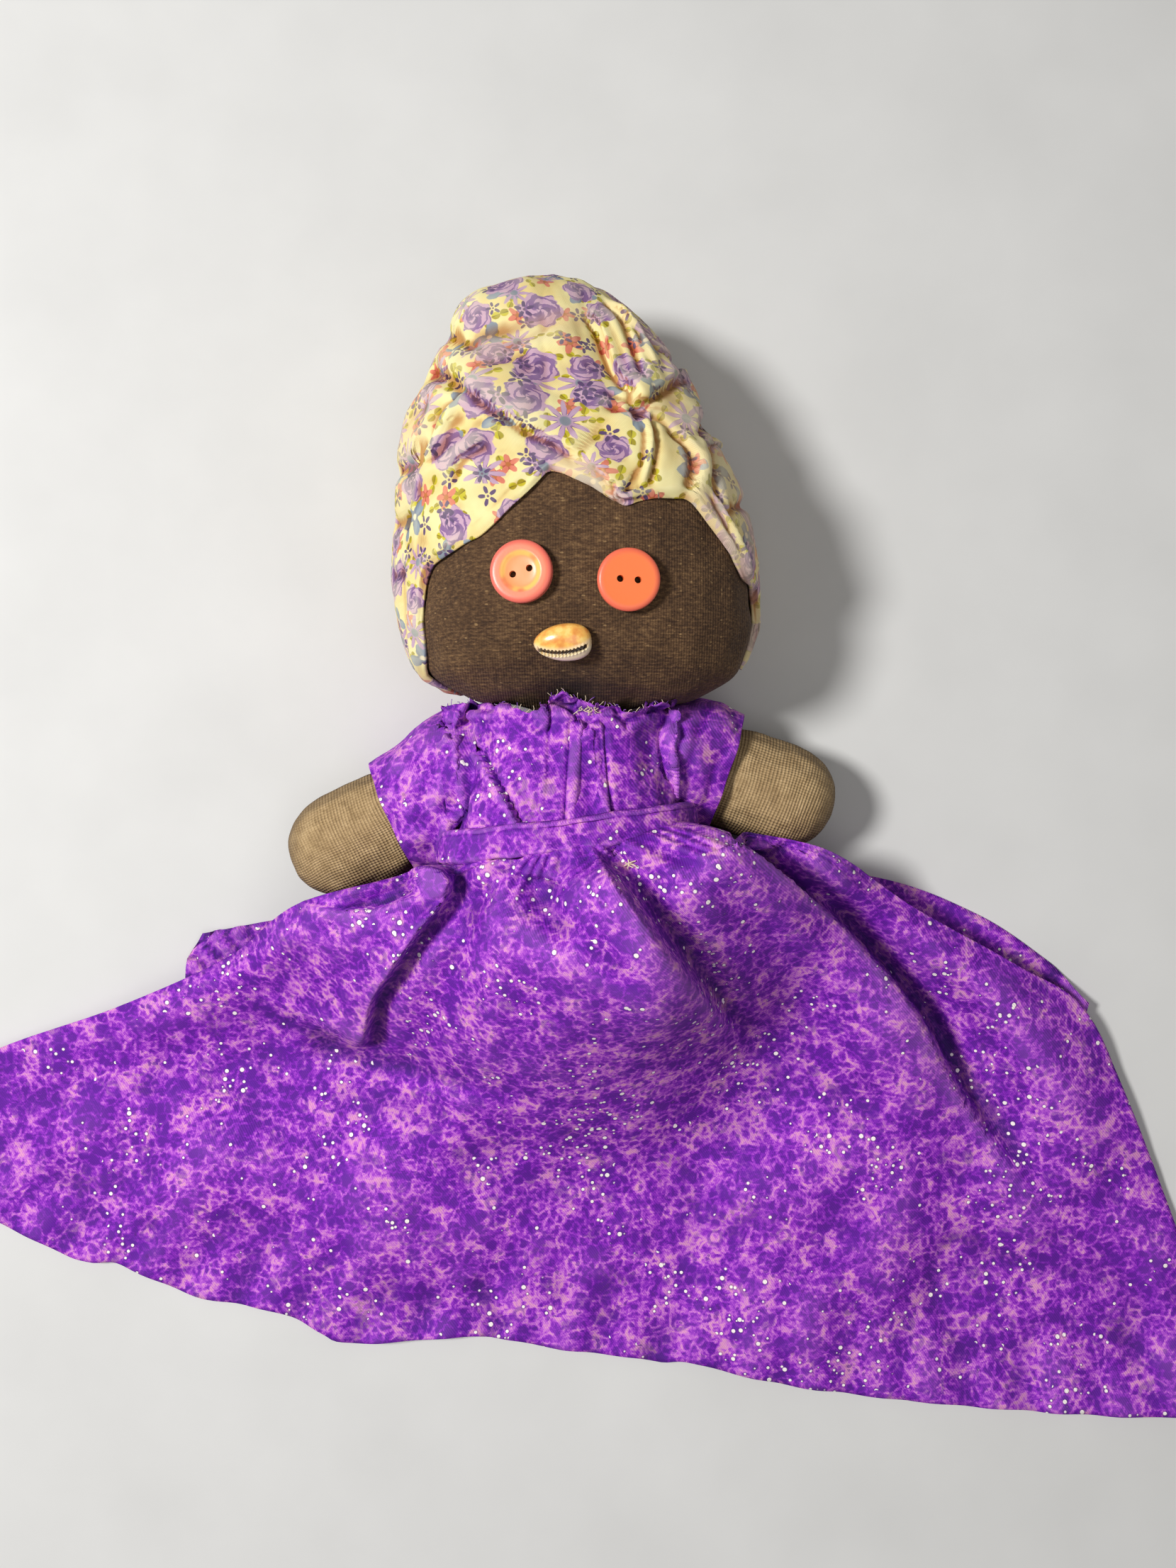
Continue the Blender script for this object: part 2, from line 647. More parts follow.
def shell_paint():
    """A polished cowrie: tan back, cream lips and a dark toothed slit."""
    p = Paint("cowrie", 0.25, Coat_Weight=0.6, Coat_Roughness=0.10)
    at = p.place()
    x, y = p.split(at)[:2]
    above = y - (-2.6 + x * x * 0.022 + x * 0.06)
    cloud = p.noise(at, 0.35, 3.0)
    back = p.ramp(cloud, (0.35, rgb(232, 150, 72)), (0.52, rgb(250, 188, 92)), (0.66, rgb(255, 214, 124)))
    colour = p.mix(p.rise(above, 0.9, 2.6), rgb(250, 218, 168), back)
    colour = p.mix(p.fall(above, -0.7, -0.2), colour, rgb(255, 234, 190))
    depth = p.fall(p.absolute(above), 0.5, 0.85)
    inner = depth * p.fall(p.absolute(x), 7.0, 8.0)
    teeth = p.rise(p.sine(x * 5.6), 0.0, 0.5)
    dark = p.mix(teeth * 0.25, rgb(40, 22, 12), rgb(120, 76, 44))
    colour = p.mix(inner, colour, dark)
    return p.finish(colour, cloud, 0.03, 0.18 + cloud * 0.15)


def plain_paint(name, dark, light, scale, roughness=0.9, bump=0.1):
    p = Paint(name, roughness)
    at = p.place()
    tone = p.noise(at, scale, 5.0, 0.65)
    return p.finish(p.ramp(tone, (0.40, dark), (0.62, light)), tone, bump)


DRESS = dress_paint()
WRAP = wrap_paint()
KNIT = knit_paint()
LEFT_WAY = unit(np.array((-0.053, -0.0239, 0.0)))
RIGHT_WAY = unit(np.array((0.0465, -0.0155, 0.0)))
THREAD = plain_paint("loose_thread", rgb(206, 182, 150), rgb(244, 226, 200), 1.5)
PURPLE_THREAD = plain_paint("purple_thread", rgb(96, 44, 150), rgb(170, 116, 200), 1.2)
DARK_THREAD = plain_paint("tie_thread", rgb(30, 24, 20), rgb(58, 46, 36), 2.0)
WADDING = plain_paint("wadding", rgb(214, 208, 192), rgb(246, 242, 230), 0.5, 1.0, 0.5)


# Skirt

SKIRT_LEFT = (
    (-0.0425, -0.0515), (-0.0600, -0.0550), (-0.0930, -0.0645), (-0.1220, -0.0850), (-0.1640, -0.1040),
    (-0.2090, -0.1200), (-0.2480, -0.1400),
)
SKIRT_RIGHT = (
    (0.0410, -0.0385), (0.0600, -0.0405), (0.0870, -0.0470), (0.1197, -0.0677), (0.1566, -0.0881),
    (0.1823, -0.1043), (0.2005, -0.1406), (0.2184, -0.1871), (0.2362, -0.2517),
)
# The hem's course by pixels, from where the photograph's left edge cuts it to the right edge
HEM_SEEN = (
    (67, 1756), (128, 1778), (167, 1780), (222, 1806), (289, 1831), (356, 1842), (417, 1858), (456, 1878),
    (483, 1891), (556, 1889), (622, 1884), (689, 1884), (756, 1894), (833, 1906), (889, 1914), (933, 1922),
    (967, 1919), (1022, 1930), (1111, 1947), (1200, 1961), (1289, 1972), (1389, 1983), (1500, 1987),
    (1600, 1991),
)
# The upper edge, where a fold at the right rises over the waistband
SKIRT_TOP = (
    (652, 1215), (686, 1213), (732, 1211), (752, 1204), (798, 1198), (842, 1190), (862, 1189), (882, 1186),
    (909, 1176), (936, 1165), (965, 1160), (990, 1170),
)
BACK_LEFT = ((-0.0340, -0.0600), (-0.0900, -0.0700), (-0.1345, -0.0780))
BACK_HEM = (
    (-0.1345, -0.0780), (-0.1410, -0.0970), (-0.1250, -0.1500), (-0.0600, -0.1950), (0.0200, -0.2080),
    (0.1100, -0.2000), (0.1700, -0.1600), (0.1888, -0.1010),
)
BACK_RIGHT = ((0.0340, -0.0520), (0.1050, -0.0570), (0.1460, -0.0711), (0.1745, -0.0900), (0.1888, -0.1010))
BAND_TOP, BAND_TILT, BAND_WIDTH, BAND_MIDDLE = -0.0345, math.tan(math.radians(7.0)), 0.0112, -0.002


def band_edge(x, drop=0.0):
    """Y of the waistband's top edge from the neck, or of a line that far below it."""
    return BAND_TOP + (x - BAND_MIDDLE) * BAND_TILT - drop


def patch(top, left, right, low, rows, columns):
    """Places on the plan between four edges that meet at their ends (a Coons patch)."""
    top, low = curve(top, columns), curve(low, columns)
    left, right = curve(left, rows), curve(right, rows)
    u = np.linspace(0, 1, columns)[None, :, None]
    v = np.linspace(0, 1, rows)[:, None, None]
    ruled = (1 - v) * top[None] + v * low[None] + (1 - u) * left[:, None] + u * right[:, None]
    corners = (1 - u) * (1 - v) * top[0] + u * (1 - v) * top[-1]
    corners = corners + (1 - u) * v * low[0] + u * v * low[-1]
    return ruled - corners


def levels(tree, x, y, missing=0.0):
    """Height of a surface seen from above over places on the plan."""
    found = np.full(x.shape, missing)
    for k, (px, py) in enumerate(zip(x.ravel(), y.ravel())):
        hit = tree.ray_cast(Vector((px, py, 0.3)), Vector((0, 0, -1)))[0]
        if hit is not None:
            found.flat[k] = hit.z
    return found


def skirt_front():
    rows, columns = 150, 250
    hem = [SKIRT_LEFT[-1], (-0.2380, -0.1650), *[(spot(u, v) - NECK)[:2] for u, v in HEM_SEEN],
        SKIRT_RIGHT[-1]]
    waist = solid("torso_cover", "waistband", "sleeve_left", "sleeve_right")
    top = [SKIRT_LEFT[0], *[tuple((seen(waist, u, v, 0.03) - NECK)[:2]) for u, v in SKIRT_TOP],
        SKIRT_RIGHT[0]]
    plan = patch(top, SKIRT_LEFT, SKIRT_RIGHT, hem, rows, columns)
    x, y = plan[..., 0] + NECK[0], plan[..., 1] + NECK[1]
    props = solid("torso_cover", "waistband", "arm_cover_left", "arm_cover_right")
    shape = solid("skirt_front")
    level = levels(shape, x, y, missing=-1.0)
    for _ in range(60):
        empty = level < -0.5
        if not empty.any():
            break
        around = np.pad(level, 1, mode="edge")
        near = np.stack([around[:-2, 1:-1], around[2:, 1:-1], around[1:-1, :-2], around[1:-1, 2:]])
        found = near > -0.5
        fill = (near * found).sum(axis=0) / np.maximum(found.sum(axis=0), 1)
        level = np.where(empty & found.any(axis=0), fill, level)
    level = evened(level, 14)
    grid = np.stack([x, y, level], axis=-1)
    v = np.linspace(0, 1, rows)[:, None]
    u = np.linspace(0, 1, columns)[None, :]
    moves = np.zeros(grid.shape)
    flat = grid * (1, 1, 0)
    for pixels, height, options in SKIRT_FOLDS:
        path = traced(shape, pixels, 64) * (1, 1, 0)
        moves += fold(flat, UP, path, height, **options)
    grid = grid + moves
    # Gathers of uneven width at the waistband
    round_u = 2 * math.pi * u
    count = 17 * round_u + 2 * math.pi * (0.8 * np.sin(2.3 * round_u) + 0.5 * np.sin(5.1 * round_u + 1))
    gather = (0.5 + 0.5 * np.sin(count)) ** 1.4 * 0.0011
    gather = gather * (1 - smooth(0.02, 0.26, v)) * smooth(-0.02, 0.03, v)
    soft = rippled(flat, (0.075, 3, 2.2), (0.030, 5, 0.7), (0.009, 8, 0.16))
    calm = smooth(0.0, 0.15, v) * 0.8 + 0.2
    grid[..., 2] += gather + soft * calm
    hem_wave = 0.0010 + 0.0012 * np.sin(9 * round_u) + 0.0006 * np.sin(23 * round_u)
    grid[..., 2] += hem_wave * smooth(0.8, 1, v)
    back = skirt_back_plan(12, 24)
    outline = np.concatenate([back[0], back[1:, -1], back[-1, -2::-1], back[-2:0:-1, 0]]) + NECK[:2]
    near_back = 1 - smooth(0.002, 0.014, outline_distance(outline, grid[..., 0], grid[..., 1]))
    floor = GAP + 0.0016 * near_back
    solids = np.maximum(levels(props, grid[..., 0], grid[..., 1]) + GAP, floor)
    grid[..., 2] = np.maximum(grid[..., 2], solids)
    made = cloth("dress_skirt_front", grid, DRESS, COTTON, turned=True, inward=False, times=14, depth=0.0013)
    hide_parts("skirt_front")
    return made


def outline_distance(outline, x, y):
    """Distance to a closed outline on the plan, negative inside it."""
    start, end = np.array(outline), np.roll(outline, -1, axis=0)
    edge = end - start
    px, py = x[..., None] - start[:, 0], y[..., None] - start[:, 1]
    share = np.clip((px * edge[:, 0] + py * edge[:, 1]) / np.maximum((edge ** 2).sum(axis=1), 1e-14), 0, 1)
    distance = np.hypot(px - share * edge[:, 0], py - share * edge[:, 1]).min(axis=-1)
    straddles = (start[:, 1] > y[..., None]) != (end[:, 1] > y[..., None])
    rise = np.where(np.abs(edge[:, 1]) < 1e-12, 1e-12, edge[:, 1])
    crossings = straddles & (px < edge[:, 0] * py / rise)
    return np.where(crossings.sum(axis=-1) % 2 == 1, -distance, distance)


def skirt_back_plan(rows, columns):
    xs = np.linspace(BACK_LEFT[0][0], BACK_RIGHT[0][0], 7)
    top = [BACK_LEFT[0], *[(x, band_edge(x, BAND_WIDTH)) for x in xs[1:-1]], BACK_RIGHT[0]]
    return patch(top, BACK_LEFT, BACK_RIGHT, BACK_HEM, rows, columns)


def skirt_back(front):
    """The back panel, flat under the doll, with its two free corners lifted and curled."""
    rows, columns = 70, 130
    plan = skirt_back_plan(rows, columns)
    x, y = plan[..., 0] + NECK[0], plan[..., 1] + NECK[1]
    grid = np.stack([x, y, np.full(x.shape, 0.0002)], axis=-1)
    left_end, right_end = np.array(BACK_LEFT[-1]) + NECK[:2], np.array(BACK_RIGHT[-1]) + NECK[:2]
    from_left = np.hypot(x - left_end[0], y - left_end[1])
    from_right = np.hypot(x - right_end[0], y - right_end[1])
    # The left corner lies in a low crumple, and the right one is curled up into a small tube
    bulge = 0.0030 * np.exp(-(from_left / 0.016) ** 2) * (1 + 0.5 * np.sin((x + y) * 700))
    curl = smooth(0.020, 0.0, from_right)
    tree = BVHTree.FromPolygons([tuple(p) for p in front[0]], front[1])
    cover = levels(tree, x, y, missing=1.0)
    free = smooth(0.001, 0.006, cover)
    grid[..., 2] += np.minimum(bulge, np.maximum(cover - 0.0016, 0)) * free
    turn = curl * 2.6
    inward = unit(np.array((-0.75, -0.35, 0.0)))
    radius = 0.0034
    room = np.minimum(np.maximum(cover - 0.0018, 0), 1)
    lift = radius * (1 - np.cos(turn))
    grid[..., 2] += np.minimum(lift, room)
    grid += inward * (curl * 0.004 * (room > 0.5))[..., None]
    made = cloth("dress_skirt_back", grid, DRESS, COTTON, turned=True, inward=False)
    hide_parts("skirt_back")
    return made


# Folds of the skirt: course by pixels, and the crest's height and shape in millimetres
SKIRT_FOLDS = (
    # The large fold at the left whose crest leans over to the right
    (((640, 1218), (622, 1244), (578, 1306), (544, 1356), (517, 1400), (506, 1450), (496, 1486)), 11.0,
     dict(left=3, right=26, over=3.5, sink=3.5, rise=0.12, fade=0.14)),
    (((560, 1240), (470, 1290), (389, 1320), (300, 1350), (200, 1385)), 4.0,
     dict(left=10, right=7, fade=0.5)),
    (((470, 1262), (389, 1308), (300, 1340), (240, 1365)), -2.5, dict(left=5, right=6, fade=0.4)),
    # The shallow valley below the belly
    (((418, 1462), (494, 1487), (589, 1509), (689, 1530), (778, 1545), (860, 1560)), -3.2,
     dict(left=8, right=6, rise=0.1, fade=0.5)),
    # The gathers right of the large fold
    (((690, 1235), (667, 1267), (655, 1322), (622, 1400)), -3.0, dict(left=5, right=6, fade=0.4)),
    (((715, 1230), (700, 1270), (680, 1330)), 1.6, dict(left=4, right=4, fade=0.5)),
    # The pleat below the belly's middle: hollow, crest and valley
    (((775, 1235), (770, 1270), (790, 1310), (815, 1345)), -6.0, dict(left=6, right=7, rise=0.1, fade=0.4)),
    (((700, 1250), (755, 1318), (844, 1385), (922, 1430), (990, 1480)), 4.5,
     dict(left=6, right=14, fade=0.4)),
    (((825, 1203), (850, 1238), (889, 1290), (944, 1362), (1000, 1430), (1060, 1490)), 9.0,
     dict(left=3.2, right=11, over=2, sink=6.5, rise=0.08, fade=0.5)),
    (((860, 1200), (900, 1225), (960, 1270), (1010, 1330)), 3.0, dict(left=9, right=5, rise=0.1, fade=0.5)),
    # The long fold at the right, its crest leaning over the valley beyond it
    (((963, 1163), (1017, 1192), (1063, 1226), (1110, 1262), (1169, 1310), (1235, 1380), (1289, 1450),
     (1330, 1522),
      (1389, 1610), (1433, 1670), (1489, 1745)), 12.0,
     dict(left=3.4, right=20, over=3, sink=8.0, rise=0.04, fade=0.55)),
    (((985, 1166), (1020, 1188), (1058, 1218), (1108, 1258), (1165, 1305)), 4.5,
     dict(left=1.6, right=10, over=1.4, sink=4.5, rise=0.12, fade=0.45)),
    (((1030, 1182), (1072, 1214), (1118, 1250), (1170, 1294)), -3.5,
     dict(left=3, right=2.2, rise=0.15, fade=0.4)),
    (((1085, 1192), (1211, 1246), (1311, 1330), (1400, 1415), (1470, 1520), (1530, 1640)), 5.5,
     dict(left=12, right=8, rise=0.12, fade=0.4)),
    (((1170, 1215), (1290, 1272), (1378, 1325), (1450, 1390)), -2.5, dict(left=5, right=6, fade=0.4)),
    # Broad swells of the part that lies on the floor
    (((1250, 1700), (1400, 1790), (1520, 1900)), -4.0, dict(left=20, right=22, rise=0.4, fade=0.3)),
    (((1080, 1540), (1230, 1690), (1290, 1850)), 4.0, dict(left=22, right=22, rise=0.4, fade=0.4)),
    (((420, 1480), (520, 1640), (560, 1840)), 3.0, dict(left=24, right=20, rise=0.3, fade=0.3)),
    (((667, 1794), (690, 1840), (711, 1880)), -1.6, dict(left=4, right=5, fade=0.1)),
    (((520, 1846), (600, 1846), (690, 1842)), -1.4, dict(left=8, right=8)),
    (((760, 1836), (850, 1834), (940, 1838)), -1.4, dict(left=10, right=10)),
    (((60, 1620), (200, 1600), (330, 1650), (400, 1740)), 2.5, dict(left=20, right=20)),
)


# Headwrap

CROWN = unit(np.array((-0.10, 1.0, 0.02)))
CROWN_X = unit(np.cross(CROWN, UP))
CROWN_Z = np.cross(CROWN_X, CROWN)

# The wrap's edge round the face, by pixels, from the left cheek over the brow to the right cheek
WRAP_FACE = (
    (625, 984), (612, 962), (600, 930), (595, 880), (597, 830), (609, 798), (650, 770), (677, 757),
    (702, 734), (736, 701),
    (775, 663), (790, 666), (832, 684), (858, 700), (875, 712), (886, 714), (900, 707), (927, 702),
    (969, 703),
    (991, 728), (1011, 755), (1034, 786), (1049, 817), (1061, 848), (1066, 875), (1063, 900), (1056, 925),
    (1046, 944),
)
# Height of the wrap's hem over the face, and the level of the head's widest part
WRAP_LIFT = 0.0010
CHEEK_LEVEL = 0.045
# Folds of the wound cloth: course by pixels with the steep side on the left, the rest in millimetres
WRAP_CREASES = (
    # The upper layer's edge over the lower left band, and the overlap at the brow
    (((822, 640), (800, 628), (770, 610), (749, 600), (731, 589), (700, 570), (672, 548), (650, 530)), 2.0,
     dict(left=1.1, right=13, over=0.8, sink=1.4, rise=0.1, fade=0.12)),
    (((890, 713), (874, 695), (858, 672), (838, 652), (812, 640), (790, 645), (776, 655)), 1.6,
     dict(left=1, right=8, over=0.8, sink=1.0, rise=0.05, fade=0.3)),
    # The lower left band: a fold line and shallow draws towards the brow
    (((690, 612), (660, 634), (643, 650), (628, 690)), 1.3, dict(left=1.2, right=6, over=0.5, sink=0.8)),
    (((745, 640), (700, 690), (650, 735), (610, 760), (580, 800)), -0.7, dict(left=4, right=4)),
    (((720, 625), (665, 670), (620, 720), (590, 780)), 0.8, dict(left=4, right=5)),
    (((560, 770), (570, 830), (572, 900), (590, 950)), -0.9, dict(left=2, right=3)),
    # The pouch at the left and the pocket under it
    (((655, 548), (632, 556), (610, 585), (597, 616), (578, 650), (562, 676)), -3.6,
     dict(left=2.8, right=4, rise=0.15, fade=0.2)),
    (((648, 566), (628, 590), (610, 625), (592, 658)), 1.8, dict(left=1.8, right=4, over=0.8, sink=1.0)),
    (((626, 540), (604, 556), (582, 585), (568, 615)), 1.6, dict(left=4, right=5)),
    (((570, 680), (600, 664), (640, 640), (690, 600), (726, 572)), 0.9, dict(left=1.6, right=4, sink=0.6)),
    # Notches at the left: in the top bundle, between it and the pouch, and below the pouch
    (((618, 470), (634, 474), (660, 486), (700, 500)), -2.6, dict(left=2.2, right=2.4, rise=0, fade=0.6)),
    (((606, 524), (624, 530), (646, 540), (668, 550)), -4.0, dict(left=2.8, right=3, rise=0, fade=0.35)),
    (((545, 668), (562, 664), (582, 650), (600, 634)), -2.4, dict(left=2.4, right=2.6, rise=0, fade=0.4)),
    (((548, 738), (566, 735), (590, 716)), -2.2, dict(left=2.2, right=2.6, rise=0, fade=0.5)),
    (((536, 812), (556, 812), (580, 806)), -1.6, dict(left=2.6, right=2.6, rise=0, fade=0.5)),
    (((1006, 592), (992, 604), (976, 610)), -2.6, dict(left=2, right=2.2, rise=0, fade=0.4)),
    (((1052, 712), (1038, 714), (1022, 706)), -2.6, dict(left=2.2, right=2.2, rise=0, fade=0.4)),
    (((975, 506), (958, 512), (944, 520)), -2.0, dict(left=1.8, right=1.8, rise=0, fade=0.5)),
    # The top bundle's underside: a soft shadowed valley with small draws in it
    (((650, 500), (674, 474), (731, 458), (779, 443), (812, 430)), -1.8,
     dict(left=4.2, right=3.6, fade=0.3)),
    (((702, 500), (735, 478), (772, 462), (806, 452)), -1.0, dict(left=2.4, right=2.2)),
    (((680, 515), (718, 508), (748, 490)), -0.8, dict(left=2.2, right=2.2)),
    (((640, 450), (690, 425), (740, 405), (790, 396)), 1.2, dict(left=6, right=6)),
    # Creases that run from the top down to the knot
    (((900, 574), (897, 548), (884, 536), (872, 515), (862, 490), (850, 462), (836, 447), (815, 436)), 2.6,
     dict(left=1, right=7, over=0.8, sink=2.4, rise=0.05, fade=0.2)),
    (((892, 545), (884, 520), (872, 490), (858, 462), (842, 440)), -1.2, dict(left=1.4, right=1.4)),
    (((912, 548), (909, 510), (892, 470), (879, 447), (859, 426), (842, 418)), 1.6,
     dict(left=1, right=3.4, over=0.5, sink=1.4)),
    (((930, 530), (915, 500), (905, 476), (878, 446), (848, 422)), 1.3,
     dict(left=0.9, right=2.6, over=0.4, sink=1.1)),
    (((948, 510), (925, 488), (903, 470)), 1.0, dict(left=0.9, right=2.2, sink=0.9)),
    (((955, 528), (930, 545), (910, 560), (902, 574)), 1.8,
     dict(left=1, right=6, sink=1.4, rise=0.1, fade=0.1)),
    # Creases that run from the left into the knot
    (((905, 576), (880, 578), (856, 575), (830, 575)), -1.3, dict(left=1.2, right=1.6, rise=0, fade=0.6)),
    (((905, 573), (880, 562), (852, 552), (828, 551)), -0.8, dict(left=1.6, right=1.6, rise=0, fade=0.6)),
    # The knot, the rolls under it and the lobe at the right
    (((890, 584), (903, 582), (914, 584)), -2.4, dict(left=2.2, right=2.2, rise=0.1, fade=0.1)),
    (((908, 588), (916, 606), (918, 630), (913, 662), (903, 690)), 1.7,
     dict(left=0.9, right=1.2, over=0.2, sink=1.0, rise=0.1, fade=0.2)),
    (((906, 596), (909, 620), (906, 650), (890, 680)), -1.0, dict(left=1, right=1)),
    (((914, 588), (922, 605), (928, 630)), -0.9, dict(left=1.1, right=1.1)),
    (((916, 586), (938, 596), (955, 612), (964, 622)), -1.5, dict(left=1.4, right=1.4, rise=0.05, fade=0.3)),
    (((980, 700), (990, 670), (986, 640), (970, 616), (960, 600)), 1.6,
     dict(left=1, right=4, over=0.6, sink=1.4, rise=0.1, fade=0.2)),
    (((962, 694), (974, 664), (970, 634), (962, 616)), -0.8, dict(left=1, right=1)),
    (((972, 696), (982, 664), (977, 632), (966, 612)), -0.9, dict(left=1, right=1.2)),
    (((940, 600), (960, 620), (975, 612)), -1.0, dict(left=1.2, right=1.2)),
    # The knotted roll above, and the layers behind it at the right edge
    (((955, 522), (968, 540), (980, 565), (984, 592), (978, 612)), 2.0,
     dict(left=1.6, right=8, over=0.6, sink=1.6, rise=0.1, fade=0.1)),
    (((953, 500), (960, 524)), -1.2, dict(left=1.4, right=1.4, rise=0, fade=0.2)),
    (((1000, 600), (1008, 640), (1012, 680), (1022, 712), (1036, 745)), -1.6, dict(left=1.6, right=2.2)),
    (((990, 606), (1000, 650), (1002, 684)), 1.2, dict(left=1, right=3, sink=1.0)),
    (((1068, 905), (1071, 870), (1064, 825), (1052, 785), (1036, 750), (1018, 712), (999, 684)), 1.3,
     dict(left=0.8, right=1.2, sink=1.0, rise=0.05, fade=0.1)),
    (((1032, 700), (1038, 718), (1026, 722)), -1.4, dict(left=1.4, right=1.4)),
)
# Parts of the wrap by pixels where the cloth's paler reverse shows, and how pale
WRAP_FADED = (
    (((776, 655), (790, 645), (812, 640), (838, 652), (858, 672), (874, 695), (888, 722), (780, 690)), 1.0),
    (((903, 580), (930, 548), (957, 522), (985, 560), (990, 610), (965, 620), (938, 596)), 0.5),
    (((990, 600), (1002, 684), (1025, 712), (1060, 780), (1090, 900), (1110, 700), (1020, 590)), 0.7),
    (((965, 700), (999, 684), (1020, 712), (1050, 780), (1075, 860), (1072, 930), (1040, 930), (1000, 760)),
     0.9),
    (((540, 620), (565, 585), (600, 560), (620, 580), (600, 630), (560, 660)), 0.5),
    (((645, 505), (674, 470), (731, 452), (779, 436), (820, 428), (850, 450), (800, 474), (740, 492),
     (690, 518)), 0.45),
    (((870, 410), (903, 440), (960, 500), (930, 530), (890, 480), (845, 430)), 0.35),
    (((940, 600), (990, 612), (996, 690), (965, 700), (955, 640)), 0.45),
)


def crown_way(polar, turn):
    polar, turn = np.asarray(polar)[..., None], np.asarray(turn)[..., None]
    return np.cos(polar) * CROWN + np.sin(polar) * (np.cos(turn) * CROWN_X + np.sin(turn) * CROWN_Z)


def reached(tree, ways, middle, far=0.30, missing=0.0):
    """Distance from a middle to a surface that is met from outside, for each way."""
    found = np.full(ways.shape[:-1], missing)
    flat = ways.reshape(-1, 3)
    for k, way in enumerate(flat):
        hit, normal, _, _ = tree.ray_cast(Vector(middle + way * far), Vector(-way))
        if hit is not None and normal.dot(Vector(way)) > 0:
            found.flat[k] = max((hit - Vector(middle)).dot(Vector(way)), 0)
    return found


def seen_pixels(points):
    """Pixels of places in the photograph's frame."""
    gap = points - EYE
    return np.stack([MIDDLE[0] + gap[..., 0] / -gap[..., 2] * FOCAL,
        MIDDLE[1] - gap[..., 1] / -gap[..., 2] * FOCAL], -1)


def grid_normals(grid, closed):
    across = np.roll(grid, -1, 1) - np.roll(grid, 1, 1) if closed else np.gradient(grid, axis=1)
    return unit(np.cross(across, np.gradient(grid, axis=0)))


